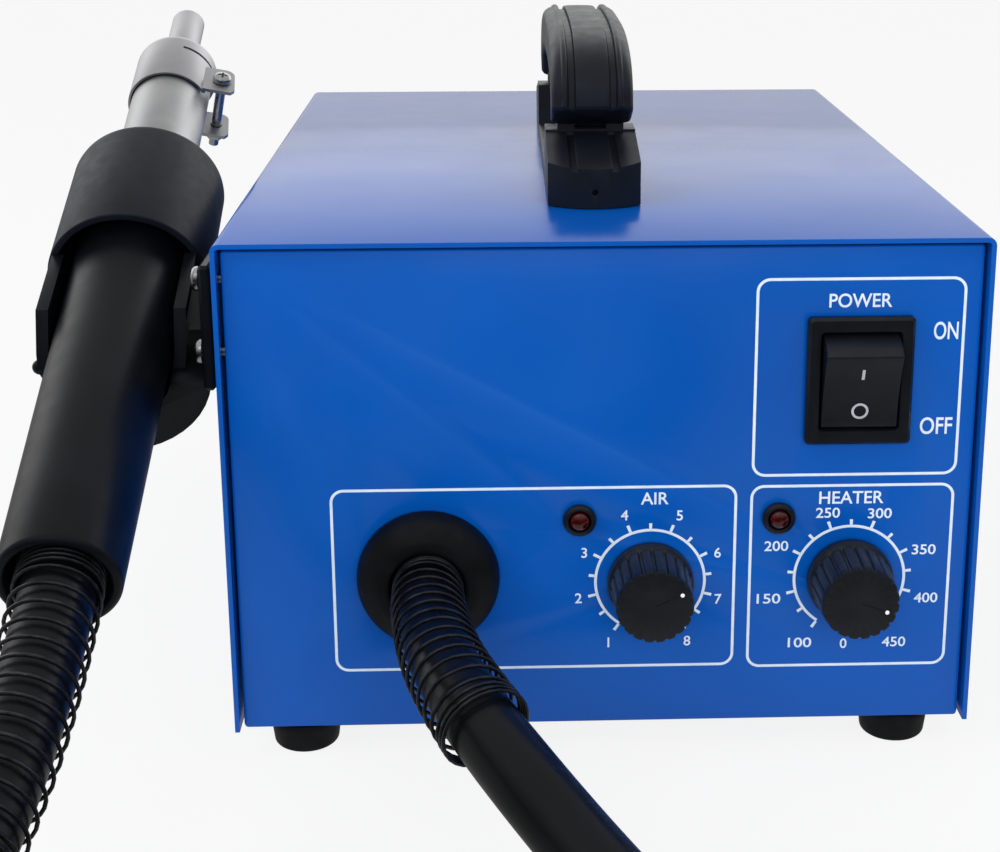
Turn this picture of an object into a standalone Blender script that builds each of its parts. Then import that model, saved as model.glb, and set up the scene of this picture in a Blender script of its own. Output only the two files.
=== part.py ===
"""Hot air rework station: a sheet-steel case with its front controls and carrying handle, a side
holder with the hot air handpiece lying in it, and the air hose between the two.

Frame: +Z up, the front panel faces -Y. Metres throughout. The station stands on its rubber feet
and the origin is under the middle of the rigid parts' bounding box.
"""

from math import acos, asin, cos, degrees, pi, radians, sin

import bmesh
import bpy
from mathutils import Euler, Matrix, Vector

for left_over in list(bpy.data.objects):
    bpy.data.objects.remove(left_over, do_unlink=True)

# Clearances
SEAT_GAP = 0.0003
RUNNING_GAP = 0.0004
PANEL_GAP = 0.0008
CUT_PAST = 0.010

# Case
CASE_WIDTH = 0.187
CASE_DEPTH = 0.245
COVER_HEIGHT = 0.127
SHEET = 0.0012
COVER_BEND = 0.002
PANEL_RECESS = 0.002
PANEL_BEND = 0.001
FLANGE_DEPTH = 0.014
FLANGE_HEIGHT = 0.018
FOOT_HEIGHT = 0.008
FOOT_RADIUS = 0.009
FOOT_INSET_X = 0.0168
FOOT_INSET_Y = 0.0115

# Side and rear vents
VENT_COUNT = 9
VENT_PITCH = 0.008
VENT_WIDTH = 0.003
VENT_HEIGHT = 0.034
VENT_BASE = 0.040
SIDE_VENT_INSET = 0.030
REAR_VENT_X = -0.035
VENT_CUT = 0.004

# Cover screws
SCREW_RADIUS = 0.0014
SCREW_HOLE = 0.0017
SCREW_HEAD_RADIUS = 0.003
SCREW_HEAD_HEIGHT = 0.0019
COVER_SCREW_SPREAD = 0.092
COVER_SCREW_RISE = 0.009

# Front panel controls, as x from the middle and height over the cover's lower edge
POWER_SWITCH_AT = (0.0625, 0.0914)
HEATER_KNOB_AT = (0.0618, 0.0391)
AIR_KNOB_AT = (0.0116, 0.0391)
HEATER_LED_AT = (0.0435, 0.0556)
AIR_LED_AT = (-0.0061, 0.0558)
GROMMET_AT = (-0.0438, 0.0411)

# Rocker switch
SWITCH_BEZEL = (0.027, 0.0323)
SWITCH_BEZEL_THICK = 0.0022
SWITCH_WALL = 0.0015
SWITCH_BODY_DEPTH = 0.0165
ROCKER_WIDTH = 0.0202
ROCKER_RADIUS = 0.0120
ROCKER_FACE = 0.0056
ROCKER_TILT = radians(15)
ROCKER_REACH = radians(56)
ROCKER_BACK = 0.0042
ROCKER_PIVOT_DEPTH = 0.0014

# Knobs and potentiometers
KNOB_SKIRT_RADIUS = 0.0108
KNOB_SKIRT_HEIGHT = 0.0035
KNOB_GRIP_RADIUS = 0.0101
KNOB_FACE_RADIUS = 0.0094
KNOB_HEIGHT = 0.0152
KNOB_FLUTES = 16
KNOB_FLUTE_POINTS = 3
KNOB_FLUTE_DEPTH = 0.0005
SHAFT_RADIUS = 0.003
SHAFT_IN_KNOB = 0.010
SHAFT_IN_POT = 0.002
POT_RADIUS = 0.008
POT_DEPTH = 0.009
POT_BUSH_RADIUS = 0.0045
POT_BUSH_HEIGHT = 0.0030

# Lamps
LED_BEZEL_RADIUS = 0.00415
LED_BEZEL_HEIGHT = 0.0014
LED_BARREL_RADIUS = 0.0032
LED_BARREL_DEPTH = 0.006
LED_RADIUS = 0.0024
LED_DOME = 0.0012

# Hose grommet
GROMMET_RADIUS = 0.0178
GROMMET_DOME = 0.008
GROMMET_NECK = 0.0130
GROMMET_INNER_FLANGE = 0.0155
GROMMET_FLANGE_THICK = 0.0025
GROMMET_BORE = 0.0092

# Hose and its two springs
HOSE_RADIUS = 0.008
HOSE_NECK_RADIUS = 0.0070
HOSE_LIE = 0.0083
HOSE_SIDES = 2
HOSE_SPACING = 0.018
HOSE_NECK_END = 0.095
SPRING_WIRE = 0.00045
SPRING_PATH_SPACING = 0.004
SPRING_CLOSE_PITCH = 0.0013
SPRING_STEPS = 10
SPRING_SIDES = 4
STATION_SPRING_START_RADIUS = 0.0088
STATION_SPRING_END_RADIUS = 0.0103
STATION_SPRING_LENGTH = 0.082
STATION_SPRING_PITCH = 0.0047
STATION_SPRING_CLOSE_TURNS = 5
STATION_SPRING_SKIP = 0.0125
SPRING_END_TURNS = 3
HANDPIECE_SPRING_RADIUS = 0.0097
HANDPIECE_SPRING_PITCH = 0.0048
HANDPIECE_SPRING_CLOSE_TURNS = 9
HANDPIECE_SPRING_LENGTH = 0.081

# Carrying handle on the case top, y from the case's front edge
HANDLE_LENGTH = 0.1450
HANDLE_SHIFT_X = -0.0007
HANDLE_SHIFT_Y = -0.0148
HANDLE_WIDTH = 0.024
HANDLE_NOSE_RADIUS = 0.0174
RAIL_HEIGHT = 0.0045
FOOT_BLOCK_HEIGHT = 0.0105
FOOT_BLOCK_TOP = 0.0160
FOOT_BLOCK_LENGTH = 0.0255
NECK_WIDTH = 0.0177
NECK_SLOT = 0.0085
NECK_LENGTH = 0.0095
NECK_TAPER = 0.002
GRIP_WIDTH = 0.0214
GRIP_OVERHANG = 0.0130
GRIP_LIP_HEIGHT = 0.0200
GRIP_TOP = 0.0420
GRIP_RADIUS = 0.0215
GRIP_THICK = 0.0125
GROOVE_WIDTH = 0.0020
GROOVE_DEPTH = 0.0010
GROOVE_SPREAD = 0.0055
HANDLE_PIN_HOLE = 0.0008

# Handpiece: the axis point level with the case front, then the lie of the axis
AXIS_FROM_CASE = 0.02676
AXIS_HEIGHT = 0.09235
HANDPIECE_RISE = radians(21.95)
HANDPIECE_TURN = radians(1.44)

# Along the handpiece's axis from that point, hose end negative
HANDLE_END = -0.065
HANDLE_JOINT = 0.005
COLLAR_START = 0.0431
HANDLE_HEAD = 0.0865
COLLAR_END = 0.091
NOZZLE_RIM = 0.130
NOZZLE_SHOULDER = 0.1505
NOZZLE_PIPE_START = 0.1560
NOZZLE_TIP = 0.183
BARREL_TIP = 0.148
BARREL_IN_COLLAR = 0.015
HEATER_SEAT_LENGTH = 0.008
HEATER_TIP_GAP = 0.008

# Across the handpiece's axis
HANDLE_END_RADIUS = 0.0135
HANDLE_MID_RADIUS = 0.0143
HANDLE_HEAD_RADIUS = 0.0147
HANDLE_MOUTH_RADIUS = 0.0112
HANDLE_WALL = 0.0025
SPRING_SOCKET_DEPTH = 0.013
HOSE_SOCKET_DEPTH = 0.027
AIRWAY_STEP = 0.002
COLLAR_RADIUS = 0.02055
COLLAR_WALL = 0.002
COLLAR_SHOULDER = 0.0035
BARREL_RADIUS = 0.011
BARREL_WALL = 0.0008
HEATER_RADIUS = 0.0065
NOZZLE_WALL = 0.0007
NOZZLE_PIPE_RADIUS = 0.0045
NOZZLE_PIPE_WALL = 0.0005
SLIT_AT = 0.1462
SLIT_WIDTH = 0.0012

# Clamp of the nozzle
EAR_TURN = radians(-12)
EAR_GAP = 0.0145
EAR_THICK = 0.0010
EAR_REACH = 0.0062
EAR_LENGTH = 0.0125
CLAMP_SCREW_RADIUS = 0.00145
CLAMP_SCREW_OFFSET = 0.0021
CLAMP_SCREW_LENGTH = 0.0225
CLAMP_HEAD_RADIUS = 0.00275
CLAMP_HEAD_HEIGHT = 0.002
NUT_WIDTH = 0.0055
NUT_THICK = 0.0024

# Holder on the case side
CRADLE_RADIUS = 0.0152
CRADLE_WALL = 0.0030
CRADLE_TOP = 0.0087
CRADLE_START = 0.0195
CRADLE_TIP = 0.0105
CRADLE_TIP_DROP = 0.003
LOBE_RADIUS = 0.025
LOBE_TOP = -0.004
LOBE_NEAR = -0.013
LOBE_START = 0.005
LOBE_END = 0.026
HOLDER_PLATE = 0.003
HOLDER_PLATE_FRONT = 0.0012
HOLDER_PLATE_LENGTH = 0.046
HOLDER_PLATE_BOTTOM = 0.0905
HOLDER_PLATE_TOP = 0.1215
HOLDER_SCREW_INSET = 0.0050
HOLDER_SCREW_HEIGHTS = (0.1176, 0.0995)

# Inside the case
TRANSFORMER_SIZE = (CASE_WIDTH * 0.321, 0.046, 0.050)
TRANSFORMER_COIL = (CASE_WIDTH * 0.214, 0.066, 0.030)
TRANSFORMER_AT = (CASE_WIDTH * 0.267, 0.045)
PUMP_SIZE = (CASE_WIDTH * 0.406, 0.098, 0.056)
PUMP_AT = (-CASE_WIDTH * 0.214, 0.030)
PUMP_FOOT = 0.006
PUMP_FOOT_RADIUS = 0.005
PUMP_FOOT_INSET = 0.015
BOARD_SIZE = (0.100, 0.0016, 0.060)
BOARD_LIFT = 0.004

# Rear panel
INLET_AT = (0.052, 0.100)
INLET_FLANGE = (0.0480, 0.0240, 0.0025)
INLET_BODY = (0.0278, 0.0200, 0.0220)
INLET_RECESS = (0.0242, 0.0164, 0.0170)
INLET_PIN = (0.0022, 0.0042, 0.0120)
INLET_PIN_SPREAD = 0.0070
INLET_PIN_DROP = 0.0020
FUSE_AT = (0.052, 0.071)
FUSE_RADIUS = 0.0060
FUSE_FLANGE_RADIUS = 0.0080
FUSE_DEPTH = 0.026
FUSE_CAP_RADIUS = 0.0068
FUSE_CAP_HEIGHT = 0.0085
FUSE_CAP_REACH = 0.012
FUSE_FLANGE_THICK = 0.002
FUSE_WALL = 0.0015
FUSE_SLOT = (0.0030, 0.0012)

ROUND_SEGMENTS = 32
SMALL_SEGMENTS = 16
FOOT_SEGMENTS = 24
SCREW_SEGMENTS = 12

HALF_WIDTH = CASE_WIDTH / 2
HALF_DEPTH = CASE_DEPTH / 2
BASE_Z = FOOT_HEIGHT
TOP_Z = FOOT_HEIGHT + COVER_HEIGHT
PANEL_HALF_WIDTH = HALF_WIDTH - SHEET - PANEL_GAP
PANEL_Y = -HALF_DEPTH + PANEL_RECESS
REAR_Y = HALF_DEPTH - PANEL_RECESS

# The hose's two free legs, by hand, from the case's middle on the bench
STATION_LEG = [
    (-0.0438, -0.1080, 0.0491),
    (-0.0438, -0.1225, 0.0492),
    (-0.0428, -0.1425, 0.0492),
    (-0.0390, -0.1650, 0.0484),
    (-0.0312, -0.1870, 0.0462),
    (-0.0212, -0.2045, 0.0412),
    (-0.0095, -0.2210, 0.0345),
    (0.0052, -0.2425, 0.0278),
    (0.0172, -0.2610, 0.0216),
    (0.0275, -0.2780, 0.0148),
]
HANDPIECE_LEG = [
    (-0.1300, -0.3050, 0.0262),
    (-0.1262, -0.2750, 0.0386),
    (-0.1214, -0.2430, 0.0516),
    (-0.1188, -0.2205, 0.0605),
    (-0.1180, -0.1960, 0.0706),
    (-0.1187, -0.1740, 0.0797),
    (-0.1194, -0.1590, 0.0857),
]
COIL_CENTRE = (-0.0343, -0.3276)
COIL_INNER_RADIUS = 0.080
COIL_OUTER_RADIUS = 0.0975
COIL_START = radians(12)
COIL_GROW_START = radians(-150)
COIL_GROW_END = radians(-318)
COIL_RISE_START = radians(-498)
COIL_END = radians(-534)
COIL_STEP = radians(24)
COIL_END_HEIGHT = 0.0165


def material(name, colour, roughness, metallic=0.0):
    made = bpy.data.materials.new(name)
    made.use_nodes = True
    shader = made.node_tree.nodes["Principled BSDF"]
    shader.inputs["Base Color"].default_value = (*colour, 1.0)
    shader.inputs["Roughness"].default_value = roughness
    shader.inputs["Metallic"].default_value = metallic
    return made


BLUE_PAINT = material("blue_paint", (0.004, 0.105, 0.479), 0.25)
BLACK_PLASTIC = material("black_plastic", (0.012, 0.012, 0.015), 0.45)
DARK_GREY_PLASTIC = material("dark_grey_plastic", (0.022, 0.023, 0.027), 0.4)
BLACK_RUBBER = material("black_rubber", (0.010, 0.010, 0.011), 0.7)
BLACK_SILICONE = material("black_silicone", (0.008, 0.009, 0.012), 0.35)
SPRING_STEEL = material("black_spring_steel", (0.02, 0.02, 0.022), 0.3, 0.8)
STAINLESS = material("stainless_steel", (0.55, 0.55, 0.53), 0.22, 1.0)
ZINC = material("zinc_plated_steel", (0.5, 0.5, 0.49), 0.3, 1.0)
RED_LENS = material("red_lens", (0.15, 0.004, 0.004), 0.15)
CERAMIC = material("heater_ceramic", (0.75, 0.72, 0.66), 0.7)
BOARD_GREEN = material("circuit_board", (0.01, 0.12, 0.04), 0.4)
CORE_STEEL = material("transformer_core", (0.12, 0.12, 0.13), 0.5, 0.7)
PUMP_GREY = material("pump_housing", (0.2, 0.2, 0.21), 0.55)


def empty(name, parent=None, location=(0, 0, 0)):
    made = bpy.data.objects.new(name, None)
    bpy.context.scene.collection.objects.link(made)
    made.parent = parent
    made.location = location
    return made


STATION = empty("station")


def add(name, mesh, paint, parent=STATION, location=(0, 0, 0), rotation=(0, 0, 0), smooth=30):
    """One named object from a bmesh, at a place under its parent."""
    bmesh.ops.recalc_face_normals(mesh, faces=mesh.faces)
    data = bpy.data.meshes.new(name)
    mesh.to_mesh(data)
    mesh.free()
    if smooth:
        data.shade_smooth()
        data.set_sharp_from_angle(angle=radians(smooth))
    made = bpy.data.objects.new(name, data)
    bpy.context.scene.collection.objects.link(made)
    made.parent = parent
    made.location = location
    made.rotation_euler = rotation
    if paint:
        data.materials.append(paint)
    return made


def helper(name, mesh, parent=STATION, location=(0, 0, 0), rotation=(0, 0, 0)):
    """A cutter, or a shape that a Boolean joins to a part."""
    made = add(name, mesh, None, parent, location, rotation, smooth=0)
    made.hide_render = True
    made.display_type = "WIRE"
    return made


def boolean(target, other, operation):
    step = target.modifiers.new(f"{operation.lower()} {other.name}", "BOOLEAN")
    step.operation = operation
    step.solver = "EXACT"
    step.object = other


def cut(target, *others):
    for other in others:
        boolean(target, other, "DIFFERENCE")


def join(target, *others):
    for other in others:
        boolean(target, other, "UNION")


def bevel(target, width, segments=2, angle=40):
    step = target.modifiers.new("rounded edges", "BEVEL")
    step.width = width
    step.segments = segments
    step.limit_method = "ANGLE"
    step.angle_limit = radians(angle)
    step.use_clamp_overlap = True


def box(size, centre=(0, 0, 0)):
    mesh = bmesh.new()
    bmesh.ops.create_cube(mesh, size=1.0)
    bmesh.ops.scale(mesh, vec=size, verts=mesh.verts)
    bmesh.ops.translate(mesh, vec=centre, verts=mesh.verts)
    return mesh


def span(low, high):
    """A box from its low corner to its high corner."""
    size = [b - a for a, b in zip(low, high)]
    centre = [(a + b) / 2 for a, b in zip(low, high)]
    return box(size, centre)


def prism(outline, low, high, axis):
    """An outline pushed from low to high along X, Y or Z. Its points give the other two, in order."""
    mesh = bmesh.new()
    place = {
        "X": lambda p, depth: (depth, p[0], p[1]),
        "Y": lambda p, depth: (p[0], depth, p[1]),
        "Z": lambda p, depth: (p[0], p[1], depth),
    }[axis]
    near = [mesh.verts.new(place(p, low)) for p in outline]
    far = [mesh.verts.new(place(p, high)) for p in outline]
    mesh.faces.new(near)
    mesh.faces.new(reversed(far))
    for i in range(len(outline)):
        j = (i + 1) % len(outline)
        mesh.faces.new((near[j], near[i], far[i], far[j]))
    return mesh


def arc(centre, radius, start, end, steps):
    """Points of an arc, angles in degrees, both ends included."""
    turns = [radians(start + (end - start) * i / steps) for i in range(steps + 1)]
    return [(centre[0] + radius * cos(t), centre[1] + radius * sin(t)) for t in turns]


def skin(rings, closed_ends=True):
    """A tube of faces over rings of points, capped at both ends."""
    mesh = bmesh.new()
    loops = [[mesh.verts.new(p) for p in ring] for ring in rings]
    for one, other in zip(loops, loops[1:]):
        for i in range(len(one)):
            j = (i + 1) % len(one)
            mesh.faces.new((one[i], one[j], other[j], other[i]))
    if closed_ends:
        mesh.faces.new(reversed(loops[0]))
        mesh.faces.new(loops[-1])
    return mesh


def turned(profile, segments=ROUND_SEGMENTS):
    """A closed profile of (radius, height) points turned about Z. Points on the axis are shared."""
    mesh = bmesh.new()
    rings = []
    for radius, height in profile:
        if radius < 1e-9:
            rings.append([mesh.verts.new((0, 0, height))] * segments)
            continue
        turns = [2 * pi * i / segments for i in range(segments)]
        rings.append([mesh.verts.new((radius * cos(t), radius * sin(t), height)) for t in turns])
    for k in range(len(rings)):
        one = rings[k]
        other = rings[(k + 1) % len(rings)]
        if one[0] is one[1] and other[0] is other[1]:
            continue
        for i in range(segments):
            j = (i + 1) % segments
            corners = []
            for vert in (one[i], one[j], other[j], other[i]):
                if vert not in corners:
                    corners.append(vert)
            mesh.faces.new(corners)
    return mesh


def cylinder(radius, low, high, segments=ROUND_SEGMENTS):
    return turned([(0, low), (radius, low), (radius, high), (0, high)], segments)


FACING_FRONT = (pi / 2, 0, 0)
FACING_BACK = (-pi / 2, 0, 0)
FACING_LEFT = (0, -pi / 2, 0)
FACING_RIGHT = (0, pi / 2, 0)


def panel_point(place, y=PANEL_Y):
    """A point on the front panel from its x and its height over the cover's lower edge."""
    return (place[0], y, BASE_Z + place[1])


def pan_screw_profile(shank_radius, length, head_radius, head_height):
    """A pan head on the +Z side of its seat, the shank below it."""
    return [
        (0, -length),
        (shank_radius, -length),
        (shank_radius, 0),
        (head_radius, 0),
        (head_radius, head_height * 0.45),
        (head_radius * 0.8, head_height * 0.9),
        (head_radius * 0.4, head_height),
        (0, head_height),
    ]


# Cover: one sheet bent down at both sides
def cover_outline(inset):
    radius = COVER_BEND - inset
    side = HALF_WIDTH - inset
    top = TOP_Z - inset
    left = arc((-side + radius, top - radius), radius, 180, 90, 4)
    right = arc((side - radius, top - radius), radius, 90, 0, 4)
    return [(-side, BASE_Z), *left, *right, (side, BASE_Z)]


cover = add(
    "cover",
    prism(cover_outline(0) + cover_outline(SHEET)[::-1], -HALF_DEPTH, HALF_DEPTH, "Y"),
    BLUE_PAINT,
)


def vent_row(name, centre, across, along):
    """Upright slots in a row: half their cut across the sheet, and the row's direction."""
    for i in range(VENT_COUNT):
        shift = (i - (VENT_COUNT - 1) / 2) * VENT_PITCH
        place = [c + shift * a for c, a in zip(centre, along)]
        size = [VENT_WIDTH * a + 2 * b for a, b in zip(along, across)]
        size[2] = VENT_HEIGHT
        yield helper(f"{name}_slot_{i}", box(size, place))


vent_centre_z = BASE_Z + VENT_BASE + VENT_HEIGHT / 2
side_vent_y = HALF_DEPTH - SIDE_VENT_INSET - (VENT_COUNT - 1) / 2 * VENT_PITCH
for side in (-1, 1):
    side_name = "left" if side < 0 else "right"
    side_vent = (side * HALF_WIDTH, side_vent_y, vent_centre_z)
    slots = vent_row(f"{side_name}_vent", side_vent, (VENT_CUT, 0, 0), (0, 1, 0))
    cut(cover, *slots)

# Tray: base, front panel and rear panel folded from one sheet, with side flanges
tray_low = (-PANEL_HALF_WIDTH, PANEL_Y, BASE_Z)
tray_high = (PANEL_HALF_WIDTH, REAR_Y, TOP_Z - SHEET - PANEL_GAP)
chassis = add("chassis", span(tray_low, tray_high), BLUE_PAINT)
bevel(chassis, PANEL_BEND, 2)
tray_room = helper(
    "tray_room",
    span(
        [c + SHEET for c in tray_low],
        (tray_high[0] - SHEET, tray_high[1] - SHEET, TOP_Z + CUT_PAST),
    ),
)
side_window = helper(
    "side_window",
    span(
        (-HALF_WIDTH - CUT_PAST, tray_low[1] + FLANGE_DEPTH, BASE_Z + FLANGE_HEIGHT),
        (HALF_WIDTH + CUT_PAST, tray_high[1] - FLANGE_DEPTH, TOP_Z + CUT_PAST),
    ),
)
cut(chassis, tray_room, side_window)


def panel_hole(name, place, radius, y=PANEL_Y):
    drill = cylinder(radius, -CUT_PAST, CUT_PAST, ROUND_SEGMENTS)
    return helper(name, drill, location=panel_point(place, y), rotation=FACING_FRONT)


switch_opening = (ROCKER_WIDTH + 2 * RUNNING_GAP, 2 * (ROCKER_RADIUS + RUNNING_GAP))
switch_body_size = [s + 2 * SWITCH_WALL for s in switch_opening]
cut(
    chassis,
    helper(
        "switch_cut_out",
        box((switch_body_size[0] + 2 * SEAT_GAP, 2 * CUT_PAST, switch_body_size[1] + 2 * SEAT_GAP)),
        location=panel_point(POWER_SWITCH_AT),
    ),
    panel_hole("heater_pot_hole", HEATER_KNOB_AT, POT_BUSH_RADIUS + SEAT_GAP),
    panel_hole("air_pot_hole", AIR_KNOB_AT, POT_BUSH_RADIUS + SEAT_GAP),
    panel_hole("heater_led_hole", HEATER_LED_AT, LED_BARREL_RADIUS + SEAT_GAP),
    panel_hole("air_led_hole", AIR_LED_AT, LED_BARREL_RADIUS + SEAT_GAP),
    panel_hole("grommet_hole", GROMMET_AT, GROMMET_NECK + SEAT_GAP),
    panel_hole("fuse_hole", FUSE_AT, FUSE_RADIUS + SEAT_GAP, REAR_Y),
    helper(
        "inlet_cut_out",
        box((INLET_BODY[0] + 2 * SEAT_GAP, 2 * CUT_PAST, INLET_BODY[1] + 2 * SEAT_GAP)),
        location=panel_point(INLET_AT, REAR_Y),
    ),
)
rear_vent = (REAR_VENT_X, REAR_Y, vent_centre_z)
cut(chassis, *vent_row("rear_vent", rear_vent, (0, VENT_CUT, 0), (1, 0, 0)))

# Cover screws through the sides into the tray's flanges
for side in (-1, 1):
    for end in (-1, 1):
        name = f"{'left' if side < 0 else 'right'}_{'front' if end < 0 else 'rear'}"
        place = (side * HALF_WIDTH, end * COVER_SCREW_SPREAD, BASE_Z + COVER_SCREW_RISE)
        facing = FACING_LEFT if side < 0 else FACING_RIGHT
        hole = helper(
            f"cover_screw_hole_{name}",
            cylinder(SCREW_HOLE, -0.008, 0.008, SMALL_SEGMENTS),
            location=place,
            rotation=facing,
        )
        cut(cover, hole)
        cut(chassis, hole)
        add(
            f"cover_screw_{name}",
            turned(
                pan_screw_profile(SCREW_RADIUS, 0.006, SCREW_HEAD_RADIUS, SCREW_HEAD_HEIGHT),
                SCREW_SEGMENTS,
            ),
            ZINC,
            location=(place[0] + side * SEAT_GAP, place[1], place[2]),
            rotation=facing,
        )

# Feet
foot_profile = [
    (0, 0),
    (FOOT_RADIUS - 0.0012, 0),
    (FOOT_RADIUS - 0.0007, 0.0006),
    (FOOT_RADIUS, FOOT_HEIGHT - 0.0012),
    (FOOT_RADIUS - 0.0006, FOOT_HEIGHT - SEAT_GAP),
    (0, FOOT_HEIGHT - SEAT_GAP),
]
for side in (-1, 1):
    for end in (-1, 1):
        add(
            f"foot_{'left' if side < 0 else 'right'}_{'front' if end < 0 else 'rear'}",
            turned(foot_profile, FOOT_SEGMENTS),
            BLACK_RUBBER,
            location=(side * (HALF_WIDTH - FOOT_INSET_X), end * (HALF_DEPTH - FOOT_INSET_Y), 0),
        )

# Carrying handle: a base with a block at each end, and the arched grip on its two necks
handle_front = -HANDLE_LENGTH / 2
handle_rear = HANDLE_LENGTH / 2
grip_front = handle_front + GRIP_OVERHANG
grip_rear = handle_rear - GRIP_OVERHANG
neck_front = handle_front + FOOT_BLOCK_LENGTH


def base_side_outline():
    """The base's side view: a block, the low rail and the other block, heights over the case top."""
    step = NECK_LENGTH + NECK_TAPER
    half = [
        (handle_front, SEAT_GAP),
        (handle_front, FOOT_BLOCK_HEIGHT),
        (neck_front, FOOT_BLOCK_TOP),
        (neck_front, GRIP_LIP_HEIGHT - SEAT_GAP),
        (neck_front + NECK_LENGTH, GRIP_LIP_HEIGHT - SEAT_GAP),
        (neck_front + step, RAIL_HEIGHT),
    ]
    middle = handle_front + handle_rear
    other = [(middle - y, z) for y, z in reversed(half)]
    return half + other


def rounded_plan(width, front, rear):
    """A plan view with bowed ends."""
    half = width / 2
    swing = asin(half / HANDLE_NOSE_RADIUS) * 180 / pi
    nose = arc((0, front + HANDLE_NOSE_RADIUS), HANDLE_NOSE_RADIUS, -90 - swing, -90 + swing, 8)
    tail = arc((0, rear - HANDLE_NOSE_RADIUS), HANDLE_NOSE_RADIUS, 90 - swing, 90 + swing, 8)
    return nose + tail


handle_at = (HANDLE_SHIFT_X, HANDLE_SHIFT_Y, TOP_Z)
handle_base = add(
    "handle_base",
    prism(base_side_outline(), -HANDLE_WIDTH, HANDLE_WIDTH, "X"),
    DARK_GREY_PLASTIC,
    location=handle_at,
)
base_plan = helper(
    "base_plan",
    prism(rounded_plan(HANDLE_WIDTH, handle_front, handle_rear), -0.01, GRIP_LIP_HEIGHT + 0.01, "Z"),
    location=handle_at,
)
boolean(handle_base, base_plan, "INTERSECT")
for end in (-1, 1):
    end_name = "front" if end < 0 else "rear"
    neck_low = neck_front if end < 0 else -neck_front - NECK_LENGTH
    for side in (-1, 1):
        low_x = NECK_WIDTH / 2 if side > 0 else -HANDLE_WIDTH
        high_x = HANDLE_WIDTH if side > 0 else -NECK_WIDTH / 2
        cut(
            handle_base,
            helper(
                f"neck_waist_{end_name}_{'right' if side > 0 else 'left'}",
                span(
                    (low_x, neck_low - 0.004, FOOT_BLOCK_TOP + 0.0005),
                    (high_x, neck_low + NECK_LENGTH + 0.004, GRIP_LIP_HEIGHT + 0.01),
                ),
                location=handle_at,
            ),
        )
    slot_low = neck_front - 0.002 if end < 0 else -neck_front - 0.006
    cut(
        handle_base,
        helper(
            f"neck_slot_{end_name}",
            span(
                (-NECK_SLOT / 2, slot_low, FOOT_BLOCK_TOP + 0.0007),
                (NECK_SLOT / 2, slot_low + 0.008, GRIP_LIP_HEIGHT + 0.01),
            ),
            location=handle_at,
        ),
    )

for end in (-1, 1):
    end_name = "front" if end < 0 else "rear"
    slope = [
        (handle_front - 0.002, FOOT_BLOCK_HEIGHT - GROOVE_DEPTH),
        (handle_front, FOOT_BLOCK_HEIGHT - GROOVE_DEPTH),
        (neck_front - 0.0005, FOOT_BLOCK_TOP - GROOVE_DEPTH),
        (neck_front - 0.0005, FOOT_BLOCK_TOP + 0.006),
        (handle_front - 0.002, FOOT_BLOCK_TOP + 0.006),
    ]
    if end > 0:
        slope = [(-y, z) for y, z in reversed(slope)]
    for side in (-1, 1):
        middle = side * GROOVE_SPREAD
        low_x = middle - GROOVE_WIDTH / 2
        cut(
            handle_base,
            helper(
                f"block_groove_{end_name}_{'right' if side > 0 else 'left'}",
                prism(slope, low_x, low_x + GROOVE_WIDTH, "X"),
                location=handle_at,
            ),
        )
cut(
    handle_base,
    helper(
        "handle_pin_hole",
        cylinder(HANDLE_PIN_HOLE, -0.003, 0.003, 10),
        location=(HANDLE_SHIFT_X, HANDLE_SHIFT_Y + handle_front, TOP_Z + RAIL_HEIGHT),
        rotation=FACING_FRONT,
    ),
)


def arch_outline(inset, foot):
    """The grip's outer arch, inset from its surface, ending at the height foot."""
    radius = GRIP_RADIUS - inset
    top = GRIP_TOP - inset
    front = grip_front + inset
    rear = grip_rear - inset
    over = arc((front + radius, top - radius), radius, 180, 90, 8)
    down = arc((rear - radius, top - radius), radius, 90, 0, 8)
    return [(front, foot), *over, *down, (rear, foot)]


grip = add(
    "handle_grip",
    prism(
        arch_outline(0, GRIP_LIP_HEIGHT) + arch_outline(GRIP_THICK, GRIP_LIP_HEIGHT)[::-1],
        -GRIP_WIDTH / 2,
        GRIP_WIDTH / 2,
        "X",
    ),
    DARK_GREY_PLASTIC,
    location=handle_at,
)
bevel(grip, 0.0016, 2, 50)
for side in (-1, 1):
    middle = side * GROOVE_SPREAD
    ring = arch_outline(-0.004, GRIP_LIP_HEIGHT - 0.005) + arch_outline(
        GROOVE_DEPTH, GRIP_LIP_HEIGHT - 0.005
    )[::-1]
    cut(
        grip,
        helper(
            f"grip_groove_{'right' if side > 0 else 'left'}",
            prism(ring, middle - GROOVE_WIDTH / 2, middle + GROOVE_WIDTH / 2, "X"),
            location=handle_at,
        ),
    )

# Power switch: body with its bezel, and the rocker on its pivot
switch_y = PANEL_Y - SEAT_GAP
pivot_y = switch_y + ROCKER_PIVOT_DEPTH
switch_body = add(
    "power_switch_body",
    box((SWITCH_BEZEL[0], SWITCH_BEZEL_THICK, SWITCH_BEZEL[1]), (0, -SWITCH_BEZEL_THICK / 2, 0)),
    BLACK_PLASTIC,
    location=panel_point(POWER_SWITCH_AT, switch_y),
)
bevel(switch_body, 0.0006, 1)
join(
    switch_body,
    helper(
        "switch_box",
        span(
            (-switch_body_size[0] / 2, -SWITCH_BEZEL_THICK / 2, -switch_body_size[1] / 2),
            (switch_body_size[0] / 2, SWITCH_BODY_DEPTH, switch_body_size[1] / 2),
        ),
        location=panel_point(POWER_SWITCH_AT, switch_y),
    ),
)
cut(
    switch_body,
    helper(
        "switch_pocket",
        span(
            (-switch_opening[0] / 2, -0.01, -switch_opening[1] / 2),
            (switch_opening[0] / 2, SWITCH_BODY_DEPTH - 2 * SWITCH_WALL, switch_opening[1] / 2),
        ),
        location=panel_point(POWER_SWITCH_AT, switch_y),
    ),
)


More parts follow.
